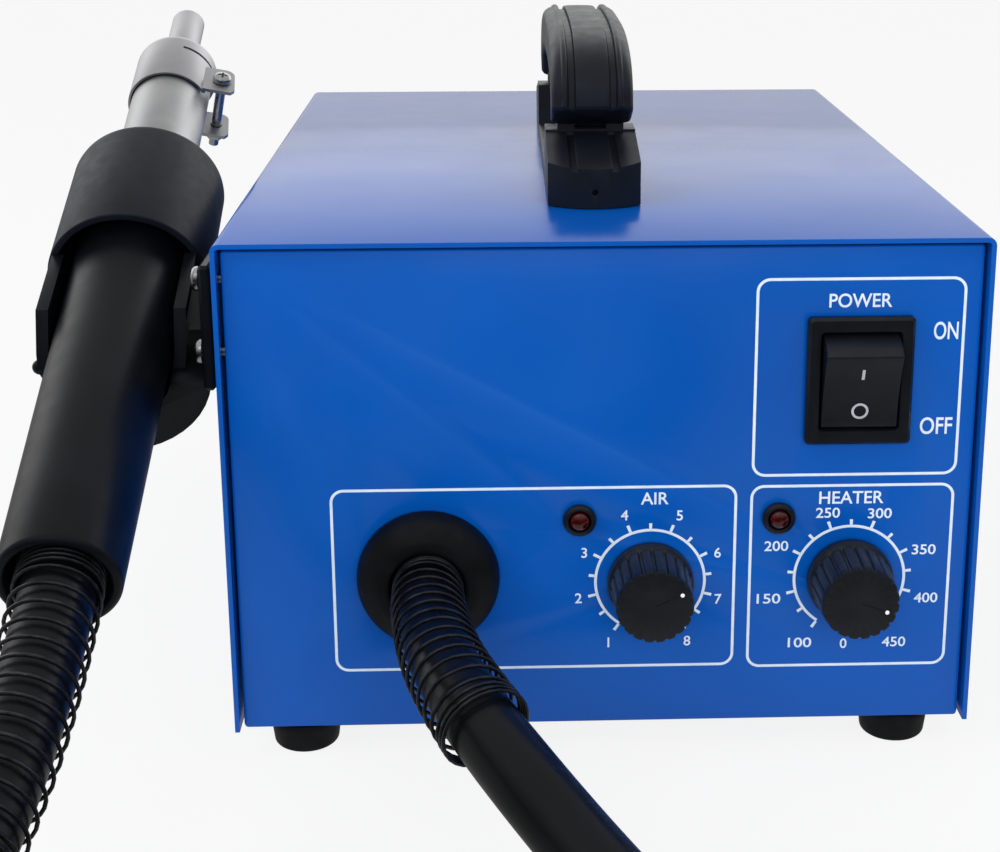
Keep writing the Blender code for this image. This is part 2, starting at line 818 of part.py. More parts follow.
def rocker_outline():
    """Side view about the pivot as (y, z): a shallow V of two faces, round ends, the top end out."""
    reach = ROCKER_REACH * 180 / pi
    tilt = ROCKER_TILT * 180 / pi
    back = asin(ROCKER_BACK / ROCKER_RADIUS) * 180 / pi
    middle = (-ROCKER_FACE * cos(ROCKER_TILT), -ROCKER_FACE * sin(ROCKER_TILT))
    low = arc((0, 0), ROCKER_RADIUS, 180 + tilt + reach, 270 + back, 4)
    high = arc((0, 0), ROCKER_RADIUS, 90 - back, 180 + tilt - reach, 5)
    return [middle, *low, *high]


add(
    "power_rocker",
    prism(rocker_outline(), -ROCKER_WIDTH / 2, ROCKER_WIDTH / 2, "X"),
    BLACK_PLASTIC,
    location=panel_point(POWER_SWITCH_AT, pivot_y),
)

# Knobs on their shafts, potentiometers behind the panel
knob_base_y = PANEL_Y - POT_BUSH_HEIGHT * 0.25
pot_seat_y = PANEL_Y + SHEET + SEAT_GAP


def knob_ring(radius, height, depth):
    """One ring of the knob's wall, its flutes that deep."""
    points = []
    for i in range(KNOB_FLUTES * KNOB_FLUTE_POINTS):
        turn = 2 * pi * i / (KNOB_FLUTES * KNOB_FLUTE_POINTS)
        r = radius - depth * (0.5 - 0.5 * cos(turn * KNOB_FLUTES))
        points.append((r * cos(turn), r * sin(turn), height))
    return points


def knob_mesh():
    return skin(
        [
            knob_ring(KNOB_SKIRT_RADIUS, 0, 0),
            knob_ring(KNOB_SKIRT_RADIUS, KNOB_SKIRT_HEIGHT * 0.6, 0),
            knob_ring(KNOB_GRIP_RADIUS, KNOB_SKIRT_HEIGHT, 0),
            knob_ring(KNOB_GRIP_RADIUS, KNOB_SKIRT_HEIGHT + 0.0008, KNOB_FLUTE_DEPTH),
            knob_ring(KNOB_FACE_RADIUS + 0.0002, KNOB_HEIGHT - 0.0006, KNOB_FLUTE_DEPTH),
            knob_ring(KNOB_FACE_RADIUS - 0.0008, KNOB_HEIGHT, 0),
        ]
    )


for name, place in (("heater", HEATER_KNOB_AT), ("air", AIR_KNOB_AT)):
    knob = add(
        f"{name}_knob",
        knob_mesh(),
        BLACK_PLASTIC,
        location=panel_point(place, knob_base_y),
        rotation=FACING_FRONT,
    )
    cut(
        knob,
        helper(
            f"{name}_knob_bore",
            turned(
                [
                    (0, -0.002),
                    (POT_BUSH_RADIUS + 0.001, -0.002),
                    (POT_BUSH_RADIUS + 0.001, POT_BUSH_HEIGHT),
                    (SHAFT_RADIUS + SEAT_GAP, POT_BUSH_HEIGHT),
                    (SHAFT_RADIUS + SEAT_GAP, SHAFT_IN_KNOB + SEAT_GAP),
                    (0, SHAFT_IN_KNOB + SEAT_GAP),
                ],
                SMALL_SEGMENTS,
            ),
            location=panel_point(place, knob_base_y),
            rotation=FACING_FRONT,
        ),
    )
    shaft_back = knob_base_y - pot_seat_y - SHAFT_IN_POT
    add(
        f"{name}_shaft",
        cylinder(SHAFT_RADIUS, shaft_back, SHAFT_IN_KNOB, SMALL_SEGMENTS),
        ZINC,
        location=panel_point(place, knob_base_y),
        rotation=FACING_FRONT,
    )
    bush_reach = pot_seat_y - PANEL_Y + POT_BUSH_HEIGHT * 0.6
    pot_floor = -POT_DEPTH + 0.002
    add(
        f"{name}_potentiometer",
        turned(
            [
                (0, -POT_DEPTH),
                (POT_RADIUS, -POT_DEPTH),
                (POT_RADIUS, 0),
                (POT_BUSH_RADIUS, 0),
                (POT_BUSH_RADIUS, bush_reach),
                (SHAFT_RADIUS + SEAT_GAP, bush_reach),
                (SHAFT_RADIUS + SEAT_GAP, pot_floor),
                (0, pot_floor),
            ],
            SMALL_SEGMENTS,
        ),
        CORE_STEEL,
        location=panel_point(place, pot_seat_y),
        rotation=FACING_FRONT,
    )

board_y = pot_seat_y + POT_DEPTH + SEAT_GAP + BOARD_SIZE[1] / 2
board_x = (HEATER_KNOB_AT[0] + AIR_KNOB_AT[0]) / 2
add(
    "control_board",
    box(BOARD_SIZE),
    BOARD_GREEN,
    location=(board_x, board_y, BASE_Z + HEATER_KNOB_AT[1] + BOARD_LIFT),
)

# Lamps: a bezel through the panel, and the lens in it
for name, place in (("heater", HEATER_LED_AT), ("air", AIR_LED_AT)):
    add(
        f"{name}_lamp_bezel",
        turned(
            [
                (LED_RADIUS + SEAT_GAP, -LED_BARREL_DEPTH),
                (LED_BARREL_RADIUS, -LED_BARREL_DEPTH),
                (LED_BARREL_RADIUS, 0),
                (LED_BEZEL_RADIUS, 0),
                (LED_BEZEL_RADIUS - 0.0004, LED_BEZEL_HEIGHT * 0.7),
                (LED_BEZEL_RADIUS - 0.0010, LED_BEZEL_HEIGHT),
                (LED_RADIUS + SEAT_GAP, LED_BEZEL_HEIGHT * 0.8),
            ],
            SMALL_SEGMENTS,
        ),
        BLACK_PLASTIC,
        location=panel_point(place, PANEL_Y - SEAT_GAP),
        rotation=FACING_FRONT,
    )
    add(
        f"{name}_lamp",
        turned(
            [
                (0, -LED_BARREL_DEPTH),
                (LED_RADIUS, -LED_BARREL_DEPTH),
                (LED_RADIUS, LED_BEZEL_HEIGHT),
                (LED_RADIUS * 0.75, LED_BEZEL_HEIGHT + LED_DOME * 0.65),
                (0, LED_BEZEL_HEIGHT + LED_DOME),
            ],
            SMALL_SEGMENTS,
        ),
        RED_LENS,
        location=panel_point(place, PANEL_Y - SEAT_GAP),
        rotation=FACING_FRONT,
    )

# Grommet: a domed rubber ring with a neck through the panel
grommet_back = -SHEET - 2 * SEAT_GAP - GROMMET_FLANGE_THICK
add(
    "hose_grommet",
    turned(
        [
            (GROMMET_BORE, grommet_back),
            (GROMMET_INNER_FLANGE, grommet_back),
            (GROMMET_INNER_FLANGE, -SHEET - 2 * SEAT_GAP),
            (GROMMET_NECK, -SHEET - 2 * SEAT_GAP),
            (GROMMET_NECK, 0),
            (GROMMET_RADIUS, 0),
            (GROMMET_RADIUS - 0.0002, GROMMET_FLANGE_THICK),
            (GROMMET_RADIUS - 0.0018, GROMMET_DOME * 0.62),
            (GROMMET_RADIUS - 0.0045, GROMMET_DOME * 0.88),
            (GROMMET_BORE + 0.0012, GROMMET_DOME),
            (GROMMET_BORE, GROMMET_DOME - 0.0008),
        ]
    ),
    BLACK_RUBBER,
    location=panel_point(GROMMET_AT, PANEL_Y - SEAT_GAP),
    rotation=FACING_FRONT,
)

# Handpiece frame: +Z along the axis to the nozzle, +Y over the handle, -X towards the case
axis_point = Vector((-HALF_WIDTH - AXIS_FROM_CASE, -HALF_DEPTH, BASE_Z + AXIS_HEIGHT))
axis_along = Vector(
    (
        -sin(HANDPIECE_TURN) * cos(HANDPIECE_RISE),
        cos(HANDPIECE_TURN) * cos(HANDPIECE_RISE),
        sin(HANDPIECE_RISE),
    )
)
axis_right = Vector((cos(HANDPIECE_TURN), sin(HANDPIECE_TURN), 0))
axis_over = axis_right.cross(axis_along)
axis_frame = Matrix((-axis_right, axis_over, axis_along)).transposed()
AXIS = empty("handpiece_axis", STATION, axis_point)
AXIS.rotation_euler = axis_frame.to_euler()

hose_seat = HANDLE_END + HOSE_SOCKET_DEPTH
spring_seat = HANDLE_END + SPRING_SOCKET_DEPTH
spring_room = HANDPIECE_SPRING_RADIUS + SEAT_GAP
hose_room = HOSE_RADIUS + SEAT_GAP
add(
    "handpiece_handle",
    turned(
        [
            (spring_room, spring_seat),
            (spring_room, HANDLE_END + 0.004),
            (HANDLE_MOUTH_RADIUS, HANDLE_END),
            (HANDLE_END_RADIUS - 0.0009, HANDLE_END),
            (HANDLE_END_RADIUS, HANDLE_END + 0.0009),
            (HANDLE_MID_RADIUS, HANDLE_JOINT),
            (HANDLE_HEAD_RADIUS, COLLAR_START),
            (HANDLE_HEAD_RADIUS, HANDLE_HEAD),
            (BARREL_RADIUS + SEAT_GAP, HANDLE_HEAD),
            (BARREL_RADIUS + SEAT_GAP, COLLAR_START + BARREL_IN_COLLAR),
            (HANDLE_MID_RADIUS - HANDLE_WALL, COLLAR_START + BARREL_IN_COLLAR - 0.004),
            (HANDLE_MID_RADIUS - HANDLE_WALL, hose_seat + 0.004),
            (hose_room - AIRWAY_STEP, hose_seat + 0.004),
            (hose_room - AIRWAY_STEP, hose_seat),
            (hose_room, hose_seat),
            (hose_room, spring_seat),
        ]
    ),
    BLACK_PLASTIC,
    parent=AXIS,
)

add(
    "handpiece_collar",
    turned(
        [
            (COLLAR_RADIUS - COLLAR_WALL, COLLAR_START),
            (COLLAR_RADIUS, COLLAR_START),
            (COLLAR_RADIUS, COLLAR_END - COLLAR_SHOULDER),
            *[
                (COLLAR_RADIUS - COLLAR_SHOULDER + x, COLLAR_END - COLLAR_SHOULDER + z)
                for x, z in arc((0, 0), COLLAR_SHOULDER, 20, 90, 4)
            ],
            (BARREL_RADIUS + SEAT_GAP, COLLAR_END),
            (BARREL_RADIUS + SEAT_GAP, HANDLE_HEAD + SEAT_GAP),
            (COLLAR_RADIUS - COLLAR_WALL, HANDLE_HEAD + SEAT_GAP),
        ]
    ),
    BLACK_PLASTIC,
    parent=AXIS,
)

barrel_back = COLLAR_START + BARREL_IN_COLLAR + SEAT_GAP
add(
    "heater_barrel",
    turned(
        [
            (BARREL_RADIUS - BARREL_WALL, barrel_back),
            (BARREL_RADIUS, barrel_back),
            (BARREL_RADIUS, BARREL_TIP),
            (BARREL_RADIUS - BARREL_WALL, BARREL_TIP),
        ]
    ),
    STAINLESS,
    parent=AXIS,
)

heater_sleeve = BARREL_RADIUS - BARREL_WALL - SEAT_GAP
heater_back = barrel_back + 0.002
add(
    "heater_core",
    turned(
        [
            (0, heater_back),
            (heater_sleeve, heater_back),
            (heater_sleeve, heater_back + HEATER_SEAT_LENGTH),
            (HEATER_RADIUS, heater_back + HEATER_SEAT_LENGTH),
            (HEATER_RADIUS, BARREL_TIP - HEATER_TIP_GAP),
            (0, BARREL_TIP - HEATER_TIP_GAP),
        ],
        SMALL_SEGMENTS,
    ),
    CERAMIC,
    parent=AXIS,
)

# Nozzle: a clamping cup over the barrel, a shoulder and the outlet pipe
cup_inner = BARREL_RADIUS + SEAT_GAP
cup_outer = cup_inner + NOZZLE_WALL
pipe_bore = NOZZLE_PIPE_RADIUS - NOZZLE_PIPE_WALL
NOZZLE_SEAT = empty("nozzle_seat", AXIS, (0, 0, NOZZLE_RIM))


def shoulder(start_radius, end_radius, start, end, steps=4):
    """A quarter turn in from the cup to the pipe."""
    points = []
    for i in range(steps + 1):
        turn = pi / 2 * i / steps
        points.append(
            (
                end_radius + (start_radius - end_radius) * cos(turn),
                start + (end - start) * sin(turn),
            )
        )
    return points


shoulder_start = NOZZLE_SHOULDER - NOZZLE_RIM
pipe_start = NOZZLE_PIPE_START - NOZZLE_RIM
tip = NOZZLE_TIP - NOZZLE_RIM
nozzle_profile = [
    (cup_inner, 0),
    (cup_outer, 0),
    *shoulder(cup_outer, NOZZLE_PIPE_RADIUS, shoulder_start, pipe_start),
    (NOZZLE_PIPE_RADIUS, tip),
    (pipe_bore, tip),
    *shoulder(cup_inner, pipe_bore, shoulder_start - NOZZLE_WALL, pipe_start - NOZZLE_WALL)[::-1],
]
nozzle = add("nozzle", turned(nozzle_profile), STAINLESS, parent=NOZZLE_SEAT)

# The clamp frame: -X reaches out through the ears, Y is the screw's line, head end up
EARS = empty("clamp_ears", NOZZLE_SEAT)
EARS.rotation_euler = Euler((0, 0, -EAR_TURN))
ear_out = cup_outer + EAR_REACH
for side in (-1, 1):
    low_y = EAR_GAP / 2 if side > 0 else -EAR_GAP / 2 - EAR_THICK
    join(
        nozzle,
        helper(
            f"ear_{'upper' if side > 0 else 'lower'}",
            span((-ear_out, low_y, 0.0005), (-cup_inner * 0.78, low_y + EAR_THICK, EAR_LENGTH)),
            parent=EARS,
        ),
    )
cut(
    nozzle,
    helper("cup_room", cylinder(cup_inner, -0.002, shoulder_start - NOZZLE_WALL), parent=NOZZLE_SEAT),
    helper(
        "cross_slit",
        span(
            (-ear_out - 0.002, -cup_outer, SLIT_AT - NOZZLE_RIM - SLIT_WIDTH / 2),
            (-cup_outer * 0.25, cup_outer, SLIT_AT - NOZZLE_RIM + SLIT_WIDTH / 2),
        ),
        parent=EARS,
    ),
    helper(
        "band_gap",
        span(
            (-cup_outer - 0.0002, -EAR_GAP / 2 + 0.0004, -0.002),
            (-cup_inner * 0.7, EAR_GAP / 2 - 0.0004, SLIT_AT - NOZZLE_RIM),
        ),
        parent=EARS,
    ),
)
clamp_x = -(cup_outer + CLAMP_SCREW_OFFSET)
clamp_z = EAR_LENGTH / 2
clamp_seat_y = EAR_GAP / 2 + EAR_THICK + SEAT_GAP
cut(
    nozzle,
    helper(
        "clamp_holes",
        cylinder(CLAMP_SCREW_RADIUS + SEAT_GAP, -0.02, 0.02, SMALL_SEGMENTS),
        parent=EARS,
        location=(clamp_x, 0, clamp_z),
        rotation=FACING_BACK,
    ),
)
add(
    "clamp_screw",
    turned(
        pan_screw_profile(CLAMP_SCREW_RADIUS, CLAMP_SCREW_LENGTH, CLAMP_HEAD_RADIUS, CLAMP_HEAD_HEIGHT),
        SMALL_SEGMENTS,
    ),
    ZINC,
    parent=EARS,
    location=(clamp_x, clamp_seat_y, clamp_z),
    rotation=FACING_BACK,
)
nut_circle = NUT_WIDTH / 2 / cos(pi / 6)
add(
    "clamp_nut",
    turned(
        [
            (CLAMP_SCREW_RADIUS + SEAT_GAP, 0),
            (nut_circle, 0),
            (nut_circle, NUT_THICK),
            (CLAMP_SCREW_RADIUS + SEAT_GAP, NUT_THICK),
        ],
        6,
    ),
    ZINC,
    parent=EARS,
    location=(clamp_x, -EAR_GAP / 2 - EAR_THICK - SEAT_GAP - NUT_THICK, clamp_z),
    rotation=FACING_BACK,
)

# Holder: a cradle under the handle, its round lobe, and the arm to a plate on the case side
cradle_outer = CRADLE_RADIUS + CRADLE_WALL
cradle_end = COLLAR_START - RUNNING_GAP


def half_round(radius, top):
    """A half round with upright walls to the given height."""
    return [(radius, top), *arc((0, 0), radius, 0, -180, 14), (-radius, top)]


def low_round(radius, top, near):
    """The part of a disc that lies below the given height and on the case's side of near."""
    start = -degrees(acos(-near / radius))
    end = degrees(asin(-top / radius)) - 180
    return [(-near, top), *arc((0, 0), radius, start, end, 14)]


HOLDER = empty("holder_frame", STATION, axis_point)
HOLDER.rotation_euler = axis_frame.to_euler()
plate_x = -HALF_WIDTH - SEAT_GAP - HOLDER_PLATE / 2
plate_y = -HALF_DEPTH + HOLDER_PLATE_FRONT
holder = add(
    "holder",
    span(
        (-HOLDER_PLATE / 2, 0, 0),
        (HOLDER_PLATE / 2, HOLDER_PLATE_LENGTH, HOLDER_PLATE_TOP - HOLDER_PLATE_BOTTOM),
    ),
    BLACK_PLASTIC,
    location=(plate_x, plate_y, BASE_Z + HOLDER_PLATE_BOTTOM),
)
bevel(holder, 0.0008, 1)
arm_reach = AXIS_FROM_CASE - SEAT_GAP - HOLDER_PLATE / 2
lobe = helper(
    "holder_lobe",
    prism(low_round(LOBE_RADIUS, LOBE_TOP, LOBE_NEAR), LOBE_START, LOBE_END, "Z"),
    parent=HOLDER,
)
arm = helper(
    "holder_arm",
    span((-arm_reach, -0.011, 0.014), (0, 0.006, cradle_end - 0.004)),
    parent=HOLDER,
)
channel = helper(
    "holder_channel",
    prism(half_round(cradle_outer, CRADLE_TOP), CRADLE_TIP, cradle_end, "Z"),
    parent=HOLDER,
)
join(holder, arm, lobe, channel)
bore = helper(
    "holder_bore",
    prism(half_round(CRADLE_RADIUS, 0.05), -0.03, cradle_end + 0.02, "Z"),
    parent=HOLDER,
)
ramp_reach = CRADLE_START - CRADLE_TIP
ramp = helper(
    "holder_ramp",
    prism(
        [
            (-CRADLE_TIP_DROP, -0.02),
            (-CRADLE_TIP_DROP, CRADLE_TIP),
            (CRADLE_TOP + 0.0002, CRADLE_START),
            (CRADLE_TOP + 0.02, CRADLE_START),
            (CRADLE_TOP + 0.02, -0.02),
        ],
        -cradle_outer - 0.001,
        cradle_outer + 0.001,
        "X",
    ),
    parent=HOLDER,
)
cut(holder, bore, ramp)
for i, height in enumerate(HOLDER_SCREW_HEIGHTS):
    place = (
        -HALF_WIDTH - SEAT_GAP - HOLDER_PLATE,
        -HALF_DEPTH + HOLDER_SCREW_INSET,
        BASE_Z + height,
    )
    hole = helper(
        f"holder_screw_hole_{i}",
        cylinder(SCREW_HOLE, -0.008, 0.003, SMALL_SEGMENTS),
        location=place,
        rotation=FACING_LEFT,
    )
    cut(holder, hole)
    cut(cover, hole)
    add(
        f"holder_screw_{'upper' if i == 0 else 'lower'}",
        turned(
            pan_screw_profile(SCREW_RADIUS, 0.0070, SCREW_HEAD_RADIUS, SCREW_HEAD_HEIGHT),
            SCREW_SEGMENTS,
        ),
        ZINC,
        location=(place[0] - SEAT_GAP, place[1], place[2]),
        rotation=FACING_LEFT,
    )
    cut(chassis, hole)

# Inside: transformer, air pump
tray_floor = BASE_Z + SHEET + SEAT_GAP
transformer = add(
    "transformer",
    span(
        (-TRANSFORMER_SIZE[0] / 2, -TRANSFORMER_SIZE[1] / 2, 0),
        (TRANSFORMER_SIZE[0] / 2, TRANSFORMER_SIZE[1] / 2, TRANSFORMER_SIZE[2]),
    ),
    CORE_STEEL,
    location=(*TRANSFORMER_AT, tray_floor),
)
coil_low = (TRANSFORMER_SIZE[2] - TRANSFORMER_COIL[2]) / 2
join(
    transformer,
    helper(
        "transformer_coil",
        span(
            (-TRANSFORMER_COIL[0] / 2, -TRANSFORMER_COIL[1] / 2, coil_low),
            (TRANSFORMER_COIL[0] / 2, TRANSFORMER_COIL[1] / 2, coil_low + TRANSFORMER_COIL[2]),
        ),
        location=(*TRANSFORMER_AT, tray_floor),
    ),
)
pump = add(
    "air_pump",
    span(
        (-PUMP_SIZE[0] / 2, -PUMP_SIZE[1] / 2, PUMP_FOOT),
        (PUMP_SIZE[0] / 2, PUMP_SIZE[1] / 2, PUMP_SIZE[2]),
    ),
    PUMP_GREY,
    location=(*PUMP_AT, tray_floor),
)
bevel(pump, 0.006, 2)
for side in (-1, 1):
    for end in (-1, 1):
        join(
            pump,
            helper(
                f"pump_foot_{side}_{end}",
                cylinder(PUMP_FOOT_RADIUS, 0, PUMP_FOOT + 0.01, SMALL_SEGMENTS),
                location=(
                    PUMP_AT[0] + side * (PUMP_SIZE[0] / 2 - PUMP_FOOT_INSET),
                    PUMP_AT[1] + end * (PUMP_SIZE[1] / 2 - PUMP_FOOT_INSET),
                    tray_floor,
                ),
            ),
        )

# Rear: mains inlet and fuse
inlet_at = panel_point(INLET_AT, REAR_Y + SEAT_GAP)
inlet = add(
    "mains_inlet",
    box((INLET_FLANGE[0], INLET_FLANGE[2], INLET_FLANGE[1]), (0, INLET_FLANGE[2] / 2, 0)),
    BLACK_PLASTIC,
    location=inlet_at,
)
bevel(inlet, 0.0008, 1)
join(
    inlet,
    helper(
        "inlet_box",
        box((INLET_BODY[0], INLET_BODY[2], INLET_BODY[1]), (0, INLET_FLANGE[2] / 2 - INLET_BODY[2] / 2, 0)),
        location=inlet_at,
    ),
)
recess_floor = INLET_FLANGE[2] - INLET_RECESS[2]
cut(
    inlet,
    helper(
        "inlet_recess",
        span(
            (-INLET_RECESS[0] / 2, recess_floor, -INLET_RECESS[1] / 2),
            (INLET_RECESS[0] / 2, 0.01, INLET_RECESS[1] / 2),
        ),
        location=inlet_at,
    ),
)
for i in (-1, 0, 1):
    drop = -INLET_PIN_DROP if i else INLET_PIN_DROP
    join(
        inlet,
        helper(
            f"inlet_pin_{i}",
            span(
                (
                    i * INLET_PIN_SPREAD - INLET_PIN[0] / 2,
                    recess_floor - 0.001,
                    drop - INLET_PIN[1] / 2,
                ),
                (
                    i * INLET_PIN_SPREAD + INLET_PIN[0] / 2,
                    recess_floor + INLET_PIN[2],
                    drop + INLET_PIN[1] / 2,
                ),
            ),
            location=inlet_at,
        ),
    )
fuse_at = panel_point(FUSE_AT, REAR_Y + SEAT_GAP)
cap_shank = FUSE_RADIUS - FUSE_WALL
add(
    "fuse_holder",
    turned(
        [
            (0, -FUSE_DEPTH),
            (FUSE_RADIUS, -FUSE_DEPTH),
            (FUSE_RADIUS, 0),
            (FUSE_FLANGE_RADIUS, 0),
            (FUSE_FLANGE_RADIUS, FUSE_FLANGE_THICK),
            (cap_shank, FUSE_FLANGE_THICK),
            (cap_shank, -FUSE_DEPTH + FUSE_WALL),
            (0, -FUSE_DEPTH + FUSE_WALL),
        ],
        SMALL_SEGMENTS,
    ),
    BLACK_PLASTIC,
    location=fuse_at,
    rotation=FACING_BACK,
)
fuse_cap = add(
    "fuse_cap",
    turned(
        [
            (0, -FUSE_CAP_REACH),
            (cap_shank - SEAT_GAP, -FUSE_CAP_REACH),
            (cap_shank - SEAT_GAP, FUSE_FLANGE_THICK + SEAT_GAP),
            (FUSE_CAP_RADIUS, FUSE_FLANGE_THICK + SEAT_GAP),
            (FUSE_CAP_RADIUS - 0.0004, FUSE_CAP_HEIGHT),
            (0, FUSE_CAP_HEIGHT),
        ],
        SMALL_SEGMENTS,
    ),
    BLACK_PLASTIC,
    location=fuse_at,
    rotation=FACING_BACK,
)
cut(
    fuse_cap,
    helper(
        "fuse_cap_slot",
        box((2 * CUT_PAST, FUSE_SLOT[0], FUSE_SLOT[1]), (0, FUSE_CAP_HEIGHT, 0)),
        location=fuse_at,
    ),
)


# Hose
def coil_points():
    """The hose's turns on the bench, clockwise from the station's leg to the handpiece's."""
    points = []
    turn = COIL_START
    while turn > COIL_END - 1e-6:
        grow = (COIL_GROW_START - turn) / (COIL_GROW_START - COIL_GROW_END)
        grow = min(max(grow, 0), 1)
        radius = COIL_INNER_RADIUS + (COIL_OUTER_RADIUS - COIL_INNER_RADIUS) * grow
        lift = (COIL_RISE_START - turn) / (COIL_RISE_START - COIL_END)
        height = HOSE_LIE + (COIL_END_HEIGHT - HOSE_LIE) * max(lift, 0) ** 2
        points.append(
            (
                COIL_CENTRE[0] + radius * cos(turn),
                COIL_CENTRE[1] + radius * sin(turn),
                height,
            )
        )
        turn -= COIL_STEP
    return points


def smooth_path(route, spacing):
    """Points that far apart along a smooth curve through the route."""
    ends = [route[0], *route, route[-1]]
    fine = []
    for before, start, end, after in zip(ends, ends[1:], ends[2:], ends[3:]):
        p = [Vector(v) for v in (before, start, end, after)]
        knots = [0.0]
        for one, other in zip(p, p[1:]):
            knots.append(knots[-1] + max((other - one).length, 1e-5) ** 0.5)
        slope_in = (p[2] - p[0]) / (knots[2] - knots[0]) * (knots[2] - knots[1])
        slope_out = (p[3] - p[1]) / (knots[3] - knots[1]) * (knots[2] - knots[1])
        for i in range(12):
            t = i / 12
            fine.append(
                p[1] * (2 * t**3 - 3 * t**2 + 1)
                + slope_in * (t**3 - 2 * t**2 + t)
                + p[2] * (3 * t**2 - 2 * t**3)
                + slope_out * (t**3 - t**2)
            )
    fine.append(Vector(route[-1]))
    lengths = [0.0]
    for one, other in zip(fine, fine[1:]):
        lengths.append(lengths[-1] + (other - one).length)
    count = round(lengths[-1] / spacing)
    points = []
    k = 0
    for i in range(count + 1):
        want = lengths[-1] * i / count
        while k < len(fine) - 2 and lengths[k + 1] < want:
            k += 1
        share = (want - lengths[k]) / (lengths[k + 1] - lengths[k])
        points.append(fine[k].lerp(fine[k + 1], share))
    return points, lengths[-1]


hose_route = STATION_LEG + coil_points() + HANDPIECE_LEG
hose_points, hose_length = smooth_path(hose_route, HOSE_SPACING)
hose_curve = bpy.data.curves.new("hose", "CURVE")
hose_curve.dimensions = "3D"
hose_curve.bevel_depth = HOSE_RADIUS
hose_curve.bevel_resolution = HOSE_SIDES
hose_curve.use_fill_caps = True
hose_spline = hose_curve.splines.new("POLY")
hose_spline.points.add(len(hose_points) - 1)
for i, point in enumerate(hose_points):
    hose_spline.points[i].co = (*point, 1)
    gone = hose_length * i / (len(hose_points) - 1)
    squeeze = max(0, 1 - gone / HOSE_NECK_END)
    hose_spline.points[i].radius = 1 - squeeze * (1 - HOSE_NECK_RADIUS / HOSE_RADIUS)
hose_curve.materials.append(BLACK_SILICONE)
hose = bpy.data.objects.new("hose", hose_curve)
bpy.context.scene.collection.objects.link(hose)
hose.parent = STATION


def spring_turns(length, pitch, close_turns):
    """(place along the spring, turn) for each step: close turns, open ones and close ones."""
    closed_length = close_turns * SPRING_CLOSE_PITCH
    end_length = SPRING_END_TURNS * SPRING_CLOSE_PITCH
    open_turns = (length - closed_length - end_length) / pitch
    steps = round((close_turns + open_turns + SPRING_END_TURNS) * SPRING_STEPS)
    places = []
    for i in range(steps + 1):
        turns = i / SPRING_STEPS
        if turns < close_turns:
            along = turns * SPRING_CLOSE_PITCH
        elif turns < close_turns + open_turns:
            along = closed_length + (turns - close_turns) * pitch
        else:
            rest = turns - close_turns - open_turns
            along = closed_length + open_turns * pitch + rest * SPRING_CLOSE_PITCH
        places.append((along, 2 * pi * turns))
    return places


def wire_mesh(line, out_directions, radius):
    """A round wire along a line of points."""
    rings = []
    for i, point in enumerate(line):
        ahead = (line[min(i + 1, len(line) - 1)] - line[max(i - 1, 0)]).normalized()
        out = out_directions[i]
        side = ahead.cross(out).normalized()
        out = side.cross(ahead)
        turns = [2 * pi * j / SPRING_SIDES for j in range(SPRING_SIDES)]
        rings.append([point + radius * (out * cos(t) + side * sin(t)) for t in turns])
    return skin(rings)


def walk(points, distance):
    """The point that far along a line of points, and the line's direction there."""
    left = distance
    for one, other in zip(points, points[1:]):
        length = (other - one).length
        if left <= length:
            break
        left -= length
    direction = (other - one).normalized()
    return one + direction * left, direction


def spring_on(name, path, places, radius_at, parent):
    """A spring of the given outer radius about a path."""
    line = []
    outs = []
    for along, turn in places:
        centre, direction = walk(path, along)
        side = direction.cross(Vector((0, 0, 1))).normalized()
        up = side.cross(direction)
        out = side * cos(turn) + up * sin(turn)
        line.append(centre + out * (radius_at(along) - SPRING_WIRE))
        outs.append(out)
    return add(name, wire_mesh(line, outs, SPRING_WIRE), SPRING_STEEL, parent=parent, smooth=60)


fine_path, _ = smooth_path(hose_route, SPRING_PATH_SPACING)
station_path = list(fine_path)
while (station_path[0] - fine_path[0]).length < STATION_SPRING_SKIP:
    station_path.pop(0)


def station_spring_radius(along):
    share = min(along / STATION_SPRING_LENGTH, 1)
    return STATION_SPRING_START_RADIUS * (1 - share) + STATION_SPRING_END_RADIUS * share


spring_on(
    "station_spring",
    station_path,
    spring_turns(STATION_SPRING_LENGTH, STATION_SPRING_PITCH, STATION_SPRING_CLOSE_TURNS),
    station_spring_radius,
    STATION,
)
handpiece_path = fine_path[::-1]
seat_point = axis_point + axis_along * (spring_seat - SEAT_GAP - SPRING_WIRE)
while (handpiece_path[0] - seat_point).dot(axis_along) > 0:
    handpiece_path.pop(0)
spring_on(
    "handpiece_spring",
    handpiece_path,
    spring_turns(HANDPIECE_SPRING_LENGTH, HANDPIECE_SPRING_PITCH, HANDPIECE_SPRING_CLOSE_TURNS),
    lambda along: HANDPIECE_SPRING_RADIUS,
    STATION,
)


# The root moves so that the rigid parts stand over the origin
CORD_PARTS = {"hose", "station_spring", "handpiece_spring"}


def stand_over_origin():
    bpy.context.view_layer.update()
    graph = bpy.context.evaluated_depsgraph_get()
    corners = []
    for obj in bpy.context.scene.objects:
        if obj.type != "MESH" or obj.hide_render or obj.name in CORD_PARTS:
            continue
        shape = obj.evaluated_get(graph).to_mesh()
        corners += [obj.matrix_world @ vert.co for vert in shape.vertices]
    for axis in (0, 1):
        places = [corner[axis] for corner in corners]
        STATION.location[axis] = -(min(places) + max(places)) / 2


stand_over_origin()
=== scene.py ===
"""Hot air rework station, dressed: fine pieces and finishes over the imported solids."""

from math import asin, cos, degrees, pi, radians, sin

import bmesh
import bpy
from mathutils import Matrix, Vector


